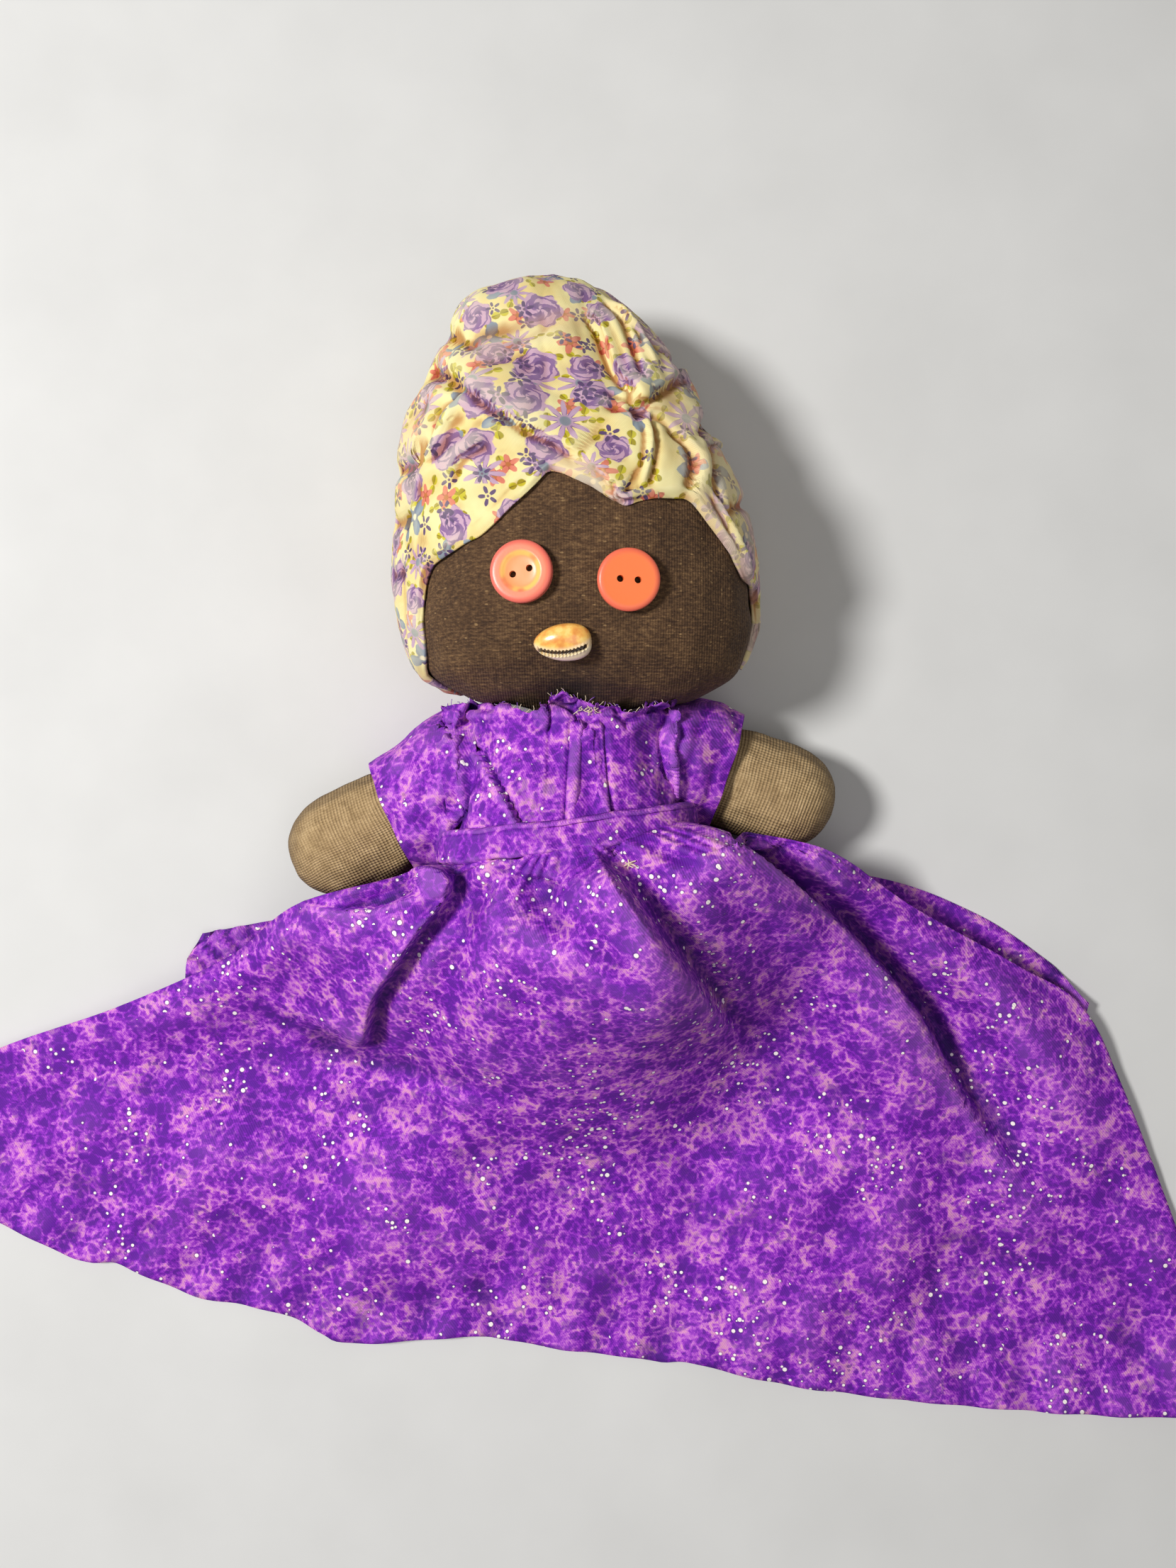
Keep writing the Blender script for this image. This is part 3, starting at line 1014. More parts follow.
def headwrap():
    rows, columns = 148, 300
    turns = round_turns(columns)
    shell, head = solid("headwrap"), solid("head_cover")
    both = solid("headwrap", "head_cover")
    # The edge: from the CAD behind the head, and from the photograph round the face
    edge = np.zeros(columns)
    for k, turn in enumerate(turns):
        for polar in np.arange(0.4, 2.9, 0.012):
            if not reached(shell, crown_way([polar], [turn]), HEAD_MIDDLE)[0]:
                break
            edge[k] = polar + 0.045
    wanted = np.array(WRAP_FACE, float)
    aims = wanted.copy()
    for _ in range(4):
        places = np.array([seen(head, u, v, CHEEK_LEVEL) for u, v in aims]) - HEAD_MIDDLE
        aims += 0.8 * (wanted - seen_pixels(HEAD_MIDDLE + places + unit(places) * WRAP_LIFT))
    around = np.arctan2(places @ CROWN_Z, places @ CROWN_X) % (2 * math.pi)
    polar = np.arccos(np.clip(unit(places) @ CROWN, -1, 1))
    around = np.where(around > 1.5 * math.pi, around - 2 * math.pi, around)
    # The edge never turns back on itself
    for k in range(1, len(around)):
        around[k] = min(around[k], around[k - 1] - 0.012)
    order = np.argsort(around)
    placed = np.where(turns > 1.5 * math.pi, turns - 2 * math.pi, turns) % (2 * math.pi)
    placed = np.where(placed > 1.5 * math.pi, placed - 2 * math.pi, placed)
    face = np.interp(placed, around[order], polar[order])
    inside = smooth(around.min() - 0.14, around.min(), placed)
    inside = inside * smooth(around.max() + 0.14, around.max(), placed)
    edge = ringed(edge + (face - edge) * inside, 2)
    share = np.linspace(0.012, 1, rows)[:, None]
    ways = crown_way(share * edge[None], np.broadcast_to(turns, (rows, columns)))
    radius = reached(both, ways, HEAD_MIDDLE)
    under = reached(head, ways, HEAD_MIDDLE)
    radius = np.where(radius > 0, radius, under + 0.0024)
    radius = evened(radius, 7, closed=True)
    radius = np.maximum(radius, under + 0.0019)
    # On the cheeks the cloth's edge lies close to the face
    cheek = smooth(0.90, 1.0, share) * smooth(1.05, 1.35, np.abs(placed - math.pi / 2))[None]
    radius = radius + (under + 0.0019 - radius) * cheek * 0.8
    radius = evened(radius, 2, closed=True)
    grid = HEAD_MIDDLE + ways * radius[..., None]
    normals = grid_normals(grid, True)
    normals = normals * np.where((normals * ways).sum(-1, keepdims=True) > 0, 1, -1)
    shape = BVHTree.FromPolygons([tuple(p) for p in grid.reshape(-1, 3)], grid_faces(rows, columns, True))
    moves = np.zeros(grid.shape)
    for pixels, height, options in WRAP_CREASES:
        moves += fold(grid, normals, traced(shape, pixels, 56, 0.045), height, **options)
    soft = rippled(grid, (0.026, 21, 0.65), (0.011, 22, 0.28), (0.0045, 23, 0.09))
    grid = grid + moves + normals * soft[..., None]
    # A soft hem round the face
    hem = np.exp(-((share - 0.985) / 0.02) ** 2) * 0.0004
    grid = grid + normals * hem[..., None]
    gap = np.linalg.norm(grid - HEAD_MIDDLE, axis=-1)
    # The last millimetres of the hem lie down on the face
    lying = smooth(0.965, 1.0, share)
    kept = np.maximum(gap, under + 0.0017)
    kept = kept + (under + WRAP_LIFT - kept) * lying
    grid = HEAD_MIDDLE + (grid - HEAD_MIDDLE) * (kept / gap)[..., None]
    grid[..., 2] = np.maximum(grid[..., 2], 0.0004)
    pixels = seen_pixels(grid)
    worn = np.zeros((rows, columns))
    for outline, fade in WRAP_FADED:
        away = outline_distance(np.array(outline, float), pixels[..., 0], pixels[..., 1])
        worn = np.maximum(worn, fade * smooth(4, -6, away) * (normals[..., 2] > -0.1))
    worn = np.maximum(worn, 0.35 * smooth(0.2, -0.5, normals[..., 2]))
    made = shaped("headwrap_cloth", grid.reshape(-1, 3), grid_faces(rows, columns, True), WRAP)
    mesh = made.data
    marked(mesh, "worn", evened(worn, 1, closed=True))
    outer = (grid_normals(grid, True) * ways).sum(-1) > 0
    marked(mesh, "hollow", hollows(grid, True) * np.where(outer, 1, -1))
    unwrap(made, columns)
    thick = made.modifiers.new("thickness", "SOLIDIFY")
    thick.thickness = 0.0011
    thick.offset = -1
    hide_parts("headwrap")
    return made


def unwrap(made, columns):
    """A UV map in metres, cut open behind the head."""
    mesh = made.data
    mesh.uv_layers.new(name="flat")
    for edge in mesh.edges:
        a, b = edge.vertices
        if a % columns == 0 and b % columns == 0:
            edge.use_seam = True
    bpy.context.view_layer.objects.active = made
    made.select_set(True)
    bpy.ops.object.mode_set(mode="EDIT")
    bpy.ops.mesh.select_all(action="SELECT")
    bpy.ops.uv.unwrap(method="MINIMUM_STRETCH", margin=0.0, no_flip=True, iterations=12)
    bpy.ops.object.mode_set(mode="OBJECT")
    made.select_set(False)
    layer = mesh.uv_layers.active.data
    flat = np.zeros(len(layer) * 2)
    layer.foreach_get("uv", flat)
    flat = flat.reshape(-1, 2)
    total = 0.0
    for polygon in mesh.polygons:
        corners = flat[list(polygon.loop_indices)]
        x, y = corners[:, 0], corners[:, 1]
        total += 0.5 * abs(np.dot(x, np.roll(y, -1)) - np.dot(y, np.roll(x, -1)))
    scale = math.sqrt(sum(p.area for p in mesh.polygons) / total)
    layer.foreach_set("uv", (flat * scale).reshape(-1))


# Head and arms

def ball_mesh(rows, columns, axis, side, other):
    """Ways from a middle and faces of a closed form with its poles on the axis."""
    polar = np.linspace(0, math.pi, rows + 2)[1:-1, None]
    turn = 2 * math.pi * np.arange(columns)[None, :] / columns
    ways = np.cos(polar)[..., None] * axis + np.sin(polar)[..., None] * (
        np.cos(turn)[..., None] * side + np.sin(turn)[..., None] * other)
    flat = np.vstack([ways.reshape(-1, 3), axis, -axis])
    faces = grid_faces(rows, columns, True, turned=True)
    top, bottom = rows * columns, rows * columns + 1
    last = (rows - 1) * columns
    faces += [(top, k, (k + 1) % columns) for k in range(columns)]
    faces += [(bottom, last + (k + 1) % columns, last + k) for k in range(columns)]
    return flat, faces


def wrapped(tree, ways, middle, rows, columns):
    """A closed form's places on a surface about a middle, smoothed."""
    radius = reached(tree, ways, middle)
    body = evened(radius[:-2].reshape(rows, columns), 4, closed=True)
    radius[:-2] = body.reshape(-1)
    radius[-2:] = body[0].mean(), body[-1].mean()
    return middle + ways * radius[:, None]


def puff(made, rest, pressure, steps, cap):
    """Cloth filled from inside, as a simulation; places move no further than cap."""
    scene = bpy.context.scene
    cloth_part = made.modifiers.new("fill", "CLOTH")
    settings = cloth_part.settings
    settings.quality = 5
    settings.mass = 0.15
    settings.tension_stiffness = settings.compression_stiffness = 12
    settings.bending_stiffness = 0.3
    settings.use_pressure = True
    settings.uniform_pressure_force = pressure
    settings.effector_weights.gravity = 0
    cloth_part.point_cache.frame_start, cloth_part.point_cache.frame_end = 1, steps
    for frame_number in range(1, steps + 1):
        scene.frame_set(frame_number)
    shape = made.evaluated_get(bpy.context.evaluated_depsgraph_get()).data
    moved = np.zeros(len(shape.vertices) * 3)
    shape.vertices.foreach_get("co", moved)
    made.modifiers.remove(cloth_part)
    scene.frame_set(1)
    gap = moved.reshape(-1, 3) - rest
    length = np.linalg.norm(gap, axis=1, keepdims=True)
    gap *= np.minimum(1, cap / np.maximum(length, 1e-9))
    made.data.vertices.foreach_set("co", (rest + gap).reshape(-1))
    made.data.update()


def head():
    rows, columns = 110, 190
    east, north = np.array((1.0, 0.0, 0.0)), np.array((0.0, 1.0, 0.0))
    ways, faces = ball_mesh(rows, columns, north, east, UP)
    tree = solid("head_cover")
    places = wrapped(tree, ways, HEAD_MIDDLE, rows, columns)
    moves = np.zeros(places.shape)
    # The chin: the stocking is gathered towards the neck, with a dimple where the stuffing gives way
    for pixels, height, options in (
        (((800, 1000), (803, 972), (806, 948), (810, 930)), -2.24, dict(left=6, right=6, rise=0, fade=0.6)),
        (((790, 1000), (778, 975), (766, 955)), -0.96, dict(left=2, right=2, rise=0, fade=0.6)),
        (((812, 1000), (828, 975), (838, 950)), -0.96, dict(left=2, right=2, rise=0, fade=0.6)),
        (((740, 1000), (722, 978), (705, 962)), -0.64, dict(left=2.5, right=2.5, rise=0, fade=0.6)),
        (((880, 1000), (900, 978), (915, 962)), -0.64, dict(left=2.5, right=2.5, rise=0, fade=0.6)),
    ):
        moves += fold(places, ways, traced(tree, pixels, 30), height, **options)
    soft = rippled(places, (0.034, 31, 0.35), (0.012, 32, 0.10))
    near_neck = smooth(0.030, 0.0, np.linalg.norm(places - (NECK + (0, 0.004, 0.036)), axis=1))
    turn = np.arctan2(places[:, 2] - 0.036, places[:, 0] - NECK[0])
    gathers = np.sin(turn * 26) * 0.0004 * near_neck
    depth = np.clip((moves * ways).sum(axis=1) + soft + gathers - 0.00030, -0.00085, 0.0004)
    places = places + ways * depth[:, None]
    made = shaped("head_stocking", places, faces, KNIT)
    chin = np.linalg.norm(places - seen(tree, 804, 978), axis=1)
    marked(made.data, "hollow", np.exp(-(chin / 0.013) ** 2))
    puff(made, places, 2.0, 12, 0.0004)
    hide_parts("head_cover")
    return made


def arm(side, way, root, end, paint):
    rows, columns = 120, 110
    middle = place_of("arm_cover_" + side)
    start, stop = NECK[:2] + root, NECK[:2] + end
    centre = np.array((*(0.42 * start + 0.58 * stop), middle[2]))
    ways, faces = ball_mesh(rows, columns, way, np.cross(way, UP), UP)
    tree = solid("arm_cover_" + side)
    places = wrapped(tree, ways, centre, rows, columns)
    soft = rippled(places, (0.020, 41 + len(side), 0.5), (0.007, 43, 0.13))
    places = places + ways * (soft - 0.0002)[:, None]
    made = shaped("arm_stocking_" + side, places, faces, paint)
    puff(made, places, 3.0, 12, 0.0006)
    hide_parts("arm_cover_" + side)
    return made


# Bodice, sleeves and waistband

BODICE_TOP = (
    (628, 1004), (632, 996), (650, 993), (704, 993), (728, 999), (745, 1006), (762, 1003), (772, 994),
    (783, 981),
    (793, 975), (806, 979), (819, 986), (836, 990), (850, 993), (868, 999), (889, 1006), (908, 998),
    (928, 988),
    (938, 990), (946, 999), (958, 1008),
)
BODICE_LOW = (
    (636, 1218), (664, 1206), (690, 1196), (732, 1184), (801, 1170), (859, 1160), (917, 1161), (958, 1172),
)
BODICE_SIDES = (((628, 1004), (614, 1046), (622, 1085), (628, 1130), (636, 1218)),
                ((958, 1008), (958, 1050), (957, 1110), (958, 1172)))
BODICE_FOLDS = (
    # The armhole seam of the left sleeve: the sleeve's cloth lies lower than the bodice
    (((600, 1012), (612, 1024), (633, 1041), (652, 1050), (670, 1060), (690, 1090), (710, 1124), (728, 1160),
     (736, 1185)),
     2.4, dict(left=0.7, right=3.4, over=0.4, sink=1.9, rise=0.05, fade=0)),
    # The opening beside the shoulder
    (((614, 1004), (612, 1022), (622, 1040), (650, 1052)), -5.0, dict(left=2.4, right=2, rise=0, fade=0.3)),
    # Pleats, each with its edge to one side
    (((769, 1003), (769, 1018), (765, 1034)), 1.4, dict(left=0.7, right=4, sink=1.0, rise=0, fade=0.3)),
    (((803, 1160), (805, 1120), (807, 1084), (810, 1050), (812, 1024)), 1.5,
     dict(left=0.7, right=5, over=0.3, sink=1.3, rise=0, fade=0)),
    (((842, 1024), (844, 1052), (847, 1084), (851, 1115), (856, 1146)), 1.5,
     dict(left=0.7, right=4, over=0.3, sink=1.3, rise=0, fade=0)),
    (((947, 996), (951, 1045), (955, 1095), (955, 1160)), 1.3,
     dict(left=0.7, right=4, sink=1.4, rise=0, fade=0)),
    # The folded-over points of the neckline
    (((774, 1000), (798, 1010), (812, 1024), (826, 1035)), 1.3,
     dict(left=1.2, right=3.6, sink=1.2, rise=0, fade=0.1)),
    (((826, 1035), (838, 1026), (848, 1018)), 1.2, dict(left=1, right=3, sink=1.0, rise=0, fade=0.1)),
    (((852, 1012), (868, 1020), (880, 1032), (888, 1026), (909, 1015), (930, 1010)), 1.1,
     dict(left=1, right=3, sink=0.9)),
    (((862, 1004), (880, 1012), (892, 1022)), -1.2, dict(left=1.6, right=1.6)),
    (((900, 1002), (918, 1008), (934, 998)), -1.0, dict(left=1.6, right=1.6)),
    (((634, 1004), (660, 1010), (690, 1012), (720, 1010)), 1.5,
     dict(left=1.6, right=1.4, over=0.4, sink=1.0)),
    (((778, 985), (790, 992), (800, 1006)), -1.0, dict(left=1.2, right=1.2)),
    (((700, 1030), (690, 1060), (700, 1100)), -0.8, dict(left=5, right=5)),
    (((735, 1020), (740, 1080), (755, 1140)), 0.7, dict(left=6, right=6)),
    (((890, 1040), (885, 1090), (900, 1140)), 0.6, dict(left=6, right=6)),
    # The sleeve's cloth below the armhole: the valley to the sleeve and draws from the waist
    (((650, 1080), (640, 1130), (640, 1170), (646, 1210)), -1.8, dict(left=3, right=3)),
    (((668, 1110), (690, 1150), (712, 1180)), 0.9, dict(left=4, right=4)),
    (((700, 1150), (682, 1180), (672, 1205)), -0.9, dict(left=2.2, right=2.2)),
)


def surface_grid(tree, pixels):
    """Places of a surface seen at a grid of pixels; where nothing is met, at the level of the row below."""
    rows, columns = pixels.shape[:2]
    level = np.full((rows, columns), np.nan)
    for r in range(rows):
        for c in range(columns):
            way = Vector((*((pixels[r, c] - MIDDLE) * (1, -1) / FOCAL), -1))
            hit = tree.ray_cast(Vector(EYE), way.normalized())[0]
            if hit is not None and hit.z > 0.004:
                level[r, c] = hit.z
    least = np.nanmax(level[rows // 6:rows // 3], axis=0) - 0.005
    for r in range(rows - 1, -1, -1):
        below = level[min(r + 1, rows - 1)]
        level[r] = np.where(np.isnan(level[r]), below, level[r])
        if r < rows // 5:
            level[r] = np.maximum(level[r], least)
    level = evened(level, 3)
    reach = (EYE[2] - level)[..., None]
    rays = np.concatenate([(pixels - MIDDLE) * (1, -1) / FOCAL, np.full((rows, columns, 1), -1.0)], axis=-1)
    return EYE + rays * reach


def bodice_front():
    rows, columns = 110, 210
    pixels = patch(BODICE_TOP, BODICE_SIDES[0], BODICE_SIDES[1], BODICE_LOW, rows, columns)
    tree = solid("bodice_front", "torso_cover", "sleeve_left", "sleeve_right", "head_cover")
    body = solid("torso_cover", "arm_cover_left", "arm_cover_right", "head_cover")
    grid = surface_grid(tree, pixels) + UP * GAP
    u, v = np.linspace(0, 1, columns)[None, :], np.linspace(0, 1, rows)[:, None]
    normals = grid_normals(grid, False)
    normals = normals * np.where(normals[..., 2:] > 0, 1, -1)
    moves = np.zeros(grid.shape)
    for course, height, options in BODICE_FOLDS:
        moves += fold(grid, normals, traced(tree, course, 50, 0.05), height, **options)
    soft = rippled(grid, (0.022, 51, 0.4), (0.008, 52, 0.10))
    lip = 0.0013 * np.exp(-(v / 0.05) ** 2) * (0.6 + 0.4 * np.sin(u * 61) * np.sin(u * 23 + 1))
    grid = grid + moves + normals * (soft + lip)[..., None]
    along = np.zeros(grid.shape)
    along[..., 0] = u * 0.1
    frayed = ripple(along, 0.004, 53) * 0.0006 * np.exp(-(v / 0.03) ** 2)
    grid[..., 1] += frayed
    grid[..., 2] = np.maximum(grid[..., 2], levels(body, grid[..., 0], grid[..., 1]) + GAP)
    made = cloth("bodice_front_cloth", grid, DRESS, COTTON, turned=True, inward=False)
    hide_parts("bodice_front")
    return made, grid


SLEEVE_FOLDS = {
    "left": (
        (((612, 1010), (590, 1040), (566, 1085), (560, 1110)), 1.2, dict(left=5, right=6)),
        (((622, 1060), (600, 1100), (590, 1140), (592, 1180)), -1.2, dict(left=4, right=5)),
        (((632, 1120), (620, 1150), (612, 1190), (600, 1214)), -1.5, dict(left=2.2, right=3)),
        (((605, 1090), (610, 1130), (625, 1170), (632, 1205)), 1.3, dict(left=2.2, right=4, sink=0.9)),
        (((632, 1105), (634, 1140), (636, 1180), (638, 1215)), -2.2,
         dict(left=1.6, right=2, rise=0.1, fade=0.1)),
        (((560, 1060), (580, 1100), (600, 1120)), 0.8, dict(left=4, right=4)),
        (((572, 1120), (580, 1160), (592, 1200)), 0.8, dict(left=3, right=3)),
    ),
    "right": (
        (((1006, 986), (1018, 1010), (1040, 1030)), 1.2, dict(left=3, right=5)),
        (((964, 1035), (980, 1060), (990, 1100), (984, 1140)), 0.8, dict(left=3, right=4)),
        (((1000, 1000), (985, 1030), (975, 1070), (968, 1120)), -1.0, dict(left=2.4, right=3)),
        (((962, 1030), (960, 1080), (960, 1150)), -1.4, dict(left=1.4, right=1.4, rise=0, fade=0)),
        (((1040, 1040), (1018, 1064), (1004, 1100), (990, 1150)), -0.6, dict(left=2, right=2)),
    ),
}


def sleeve(side, way, root):
    """The sleeve's cloth over the CAD tube, from the shoulder to a soft cuff."""
    rows, columns = 70, 150
    name = "sleeve_" + side
    low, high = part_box("arm_cover_" + side)
    start = np.array((*(NECK[:2] + root), (low[2] + high[2]) / 2 + 0.002))
    across = np.cross(way, UP)
    turns = round_turns(columns)
    ways = np.cos(turns)[:, None] * across + np.sin(turns)[:, None] * UP
    tree = solid(name)
    along = np.arange(-0.034, 0.062, 0.0008)
    first, last = np.full(columns, np.nan), np.full(columns, np.nan)
    for k, out in enumerate(ways):
        met = []
        for step in along:
            hit, normal, _, _ = tree.ray_cast(Vector(start + way * step + out * 0.08), Vector(-out), 0.0795)
            met.append(hit is not None and normal.dot(Vector(out)) > 0.05)
        met = np.array(met)
        if met.any():
            places = np.nonzero(met)[0]
            first[k], last[k] = along[places[0]], along[places[-1]]
    known = np.nonzero(~np.isnan(first))[0]
    wide = np.r_[known - columns, known, known + columns]
    first = np.interp(np.arange(columns), wide, np.tile(first[known], 3))
    last = np.interp(np.arange(columns), wide, np.tile(last[known], 3))
    first, last = ringed(first, 4) - 0.006, ringed(last, 4)
    share = np.linspace(0, 1, rows)[:, None]
    steps = first + (last + 0.0006 - first) * share
    radius = np.full((rows, columns), np.nan)
    for r in range(rows):
        for c in range(columns):
            begin = Vector(start + way * steps[r, c] + ways[c] * 0.08)
            hit, normal, _, _ = tree.ray_cast(begin, Vector(-ways[c]), 0.0795)
            if hit is not None and normal.dot(Vector(ways[c])) > 0.05:
                radius[r, c] = (hit - Vector(start + way * steps[r, c])).dot(Vector(ways[c]))
    for c in range(columns):
        good = np.nonzero(~np.isnan(radius[:, c]))[0]
        if len(good):
            radius[:, c] = np.interp(np.arange(rows), good, radius[good, c])
    usable = np.nonzero(~np.isnan(radius[0]))[0]
    for c in range(columns):
        if np.isnan(radius[0, c]):
            radius[:, c] = radius[:, usable[np.abs(usable - c).argmin()]]
    radius = evened(radius, 5, closed=True) - 0.0022 * (1 - smooth(0.06, 0.22, share))
    grid = start + way * steps[..., None] + ways[None] * radius[..., None]
    normals = grid_normals(grid, True)
    outward = grid - (start + way * steps[..., None])
    normals = normals * np.where((normals * outward).sum(-1, keepdims=True) > 0, 1, -1)
    moves = np.zeros(grid.shape)
    for course, height, options in SLEEVE_FOLDS[side]:
        moves += fold(grid, normals, traced(tree, course, 40, 0.03), height, **options)
    soft = rippled(grid, (0.020, 61, 0.6), (0.008, 62, 0.18))
    hem = 0.0006 * np.sin(np.arange(columns)[None] * 0.31) * smooth(0.8, 1, share)
    grid = grid + moves + normals * (soft + hem)[..., None]
    grid[..., 2] = np.maximum(grid[..., 2], 0.0008)
    body = solid("torso_cover", "arm_cover_" + side, "head_cover")
    flat = grid.reshape(-1, 3)
    for k, point in enumerate(flat):
        near, normal, _, _ = body.find_nearest(Vector(point), 0.02)
        if near is not None:
            depth = (Vector(point) - near).dot(normal)
            if depth < GAP:
                flat[k] = np.array(Vector(point) + normal * (GAP - depth))
    grid = flat.reshape(grid.shape)
    made = cloth(name + "_cloth", grid, DRESS, COTTON, closed=True)
    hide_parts(name)
    return made


def waistband():
    """The band round the waist, with a turned upper edge and soft unevenness."""
    rows, columns = 34, 300
    turns = round_turns(columns)
    middle = NECK + (BAND_MIDDLE, BAND_TOP, 0.0347)
    tree = solid("waistband")
    ways = np.stack([np.cos(turns), 0 * turns, np.sin(turns)], axis=1)
    grid = np.zeros((rows, columns, 3))
    for r in range(rows):
        drop = 0.0004 + (BAND_WIDTH - 0.0008) * r / (rows - 1)
        reach = np.full(columns, 0.040)
        for _ in range(3):
            x = BAND_MIDDLE + ways[:, 0] * reach
            y = NECK[1] + band_edge(x, drop)
            for c in range(columns):
                begin = Vector((middle[0] + ways[c, 0] * 0.09, y[c], middle[2] + ways[c, 2] * 0.09))
                hit, normal, _, _ = tree.ray_cast(begin, Vector(-ways[c]), 0.0895)
                if hit is not None:
                    reach[c] = math.hypot(hit.x - middle[0], hit.z - middle[2])
        grid[r] = np.stack([middle[0] + ways[:, 0] * reach, y, middle[2] + ways[:, 2] * reach], axis=1)
    grid = evened(grid, 2, closed=True)
    share = np.linspace(0, 1, rows)[:, None]
    swell = 0.0017 * smooth(0.0, 0.07, share) * smooth(1.0, 0.93, share)
    swell = swell - 0.0004 * np.exp(-((share - 0.17) / 0.04) ** 2)
    soft = rippled(grid, (0.016, 71, 0.35), (0.006, 72, 0.14))
    step = np.arange(columns)[None]
    tucks = 0.0004 * np.sin(step * 0.55 + 2 * np.sin(step * 0.09)) * smooth(0.5, 1, share)
    grid = grid + ways[None] * (swell + soft + tucks)[..., None]
    grid[..., 1] += ripple(grid, 0.012, 73) * 0.0004
    grid[..., 2] = np.maximum(grid[..., 2], 0.0008)
    made = cloth("waistband_cloth", grid, DRESS, 0.0005, closed=True, turned=True)
    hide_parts("waistband")
    return made


# Buttons, shell and threads

def own_x(normal, turn):
    """A piece's own x on a face, turned by degrees from the frame's x."""
    across = np.array((math.cos(math.radians(turn)), math.sin(math.radians(turn)), 0.0))
    return unit(across - normal * (across @ normal))


def set_down(made, middle, normal, across):
    """Places an object with its z along the normal and its x along across."""
    made.matrix_world = Matrix(
        [[float(value) for value in row] for row in zip(across, np.cross(normal, across), normal, middle)]
        + [[0, 0, 0, 1]])
    bpy.context.view_layer.update()


def facing(name, turn):
    """A frame on a flat round node: its middle, its face's normal and its own x turned on the face."""
    points = np.array([v.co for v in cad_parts[name].data.vertices])
    middle = points.mean(axis=0)
    _, _, axes = np.linalg.svd(points - middle)
    normal = axes[2] * (1 if axes[2][2] > 0 else -1)
    across = own_x(normal, turn)
    heights = (points - middle) @ normal
    middle = middle + normal * (heights.max() + heights.min()) / 2
    return middle, normal, across, heights.max() - heights.min()


def button(side, turn, dish, paint):
    name = "eye_button_" + side
    middle, normal, across, thickness = facing(name, turn)
    half, columns = thickness / 2, 112
    if dish:
        outline = [(0.0, half - 0.0009), (0.0030, half - 0.0009), (0.0048, half - 0.0007),
                   (0.0056, half - 0.0003), (0.0062, half - 0.00002), (0.0068, half), (0.0080, half),
                   (0.0088, half - 0.00012), (0.0093, half - 0.0004), (0.0096, half - 0.0009)]
    else:
        outline = [(0.0, half - 0.0001), (0.0040, half - 0.0001), (0.0070, half - 0.00004), (0.0080, half),
                   (0.0087, half - 0.0001), (0.0092, half - 0.00035), (0.0095, half - 0.0007),
                   (0.0096, half - 0.0011)]
    outline += [(0.0096, -half + 0.0006), (0.0093, -half + 0.0002), (0.0088, -half), (0.0, -half)]
    outline = curve([(r, 0.0, h) for r, h in outline], 60)[:, (0, 2)]
    outline[0, 0] = outline[-1, 0] = 0.0
    points, faces = [(0, 0, outline[0, 1])], []
    for r, h in outline[1:-1]:
        for k in range(columns):
            turned = 2 * math.pi * k / columns
            points.append((max(r, 0.0001) * math.cos(turned), max(r, 0.0001) * math.sin(turned), h))
    points.append((0, 0, outline[-1, 1]))
    rings = len(outline) - 2
    faces += [(0, 1 + k, 1 + (k + 1) % columns) for k in range(columns)]
    for r in range(rings - 1):
        for k in range(columns):
            a, b = 1 + r * columns + k, 1 + r * columns + (k + 1) % columns
            faces.append((a, a + columns, b + columns, b))
    last = 1 + (rings - 1) * columns
    faces += [(last + (k + 1) % columns, last + k, len(points) - 1) for k in range(columns)]
    mesh = bpy.data.meshes.new(name + "_face")
    mesh.from_pydata(points, [], faces)
    made = bpy.data.objects.new(name + "_face", mesh)
    bpy.context.scene.collection.objects.link(made)
    cutters = []
    for place in (-0.0027, 0.0027):
        tool = bpy.data.meshes.new("drill")
        shape = bmesh.new()
        hole = 0.00105
        bmesh.ops.create_cone(shape, cap_ends=True, segments=40, radius1=hole, radius2=hole, depth=0.01)
        bmesh.ops.translate(shape, verts=shape.verts, vec=(place, 0, 0))
        shape.to_mesh(tool)
        shape.free()
        drill = bpy.data.objects.new("drill", tool)
        bpy.context.scene.collection.objects.link(drill)
        cut = made.modifiers.new("hole", "BOOLEAN")
        cut.operation, cut.object, cut.solver = "DIFFERENCE", drill, "EXACT"
        cutters.append(drill)
    shape = made.evaluated_get(bpy.context.evaluated_depsgraph_get())
    drilled = bpy.data.meshes.new_from_object(shape)
    made.modifiers.clear()
    made.data = drilled
    for drill in cutters:
        bpy.data.objects.remove(drill)
    drilled.materials.clear()
    drilled.materials.append(paint)
    drilled.shade_smooth()
    drilled.set_sharp_from_angle(angle=math.radians(40))
    set_down(made, middle, normal, across)
    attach(made, "root")
    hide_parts(name)
    return made


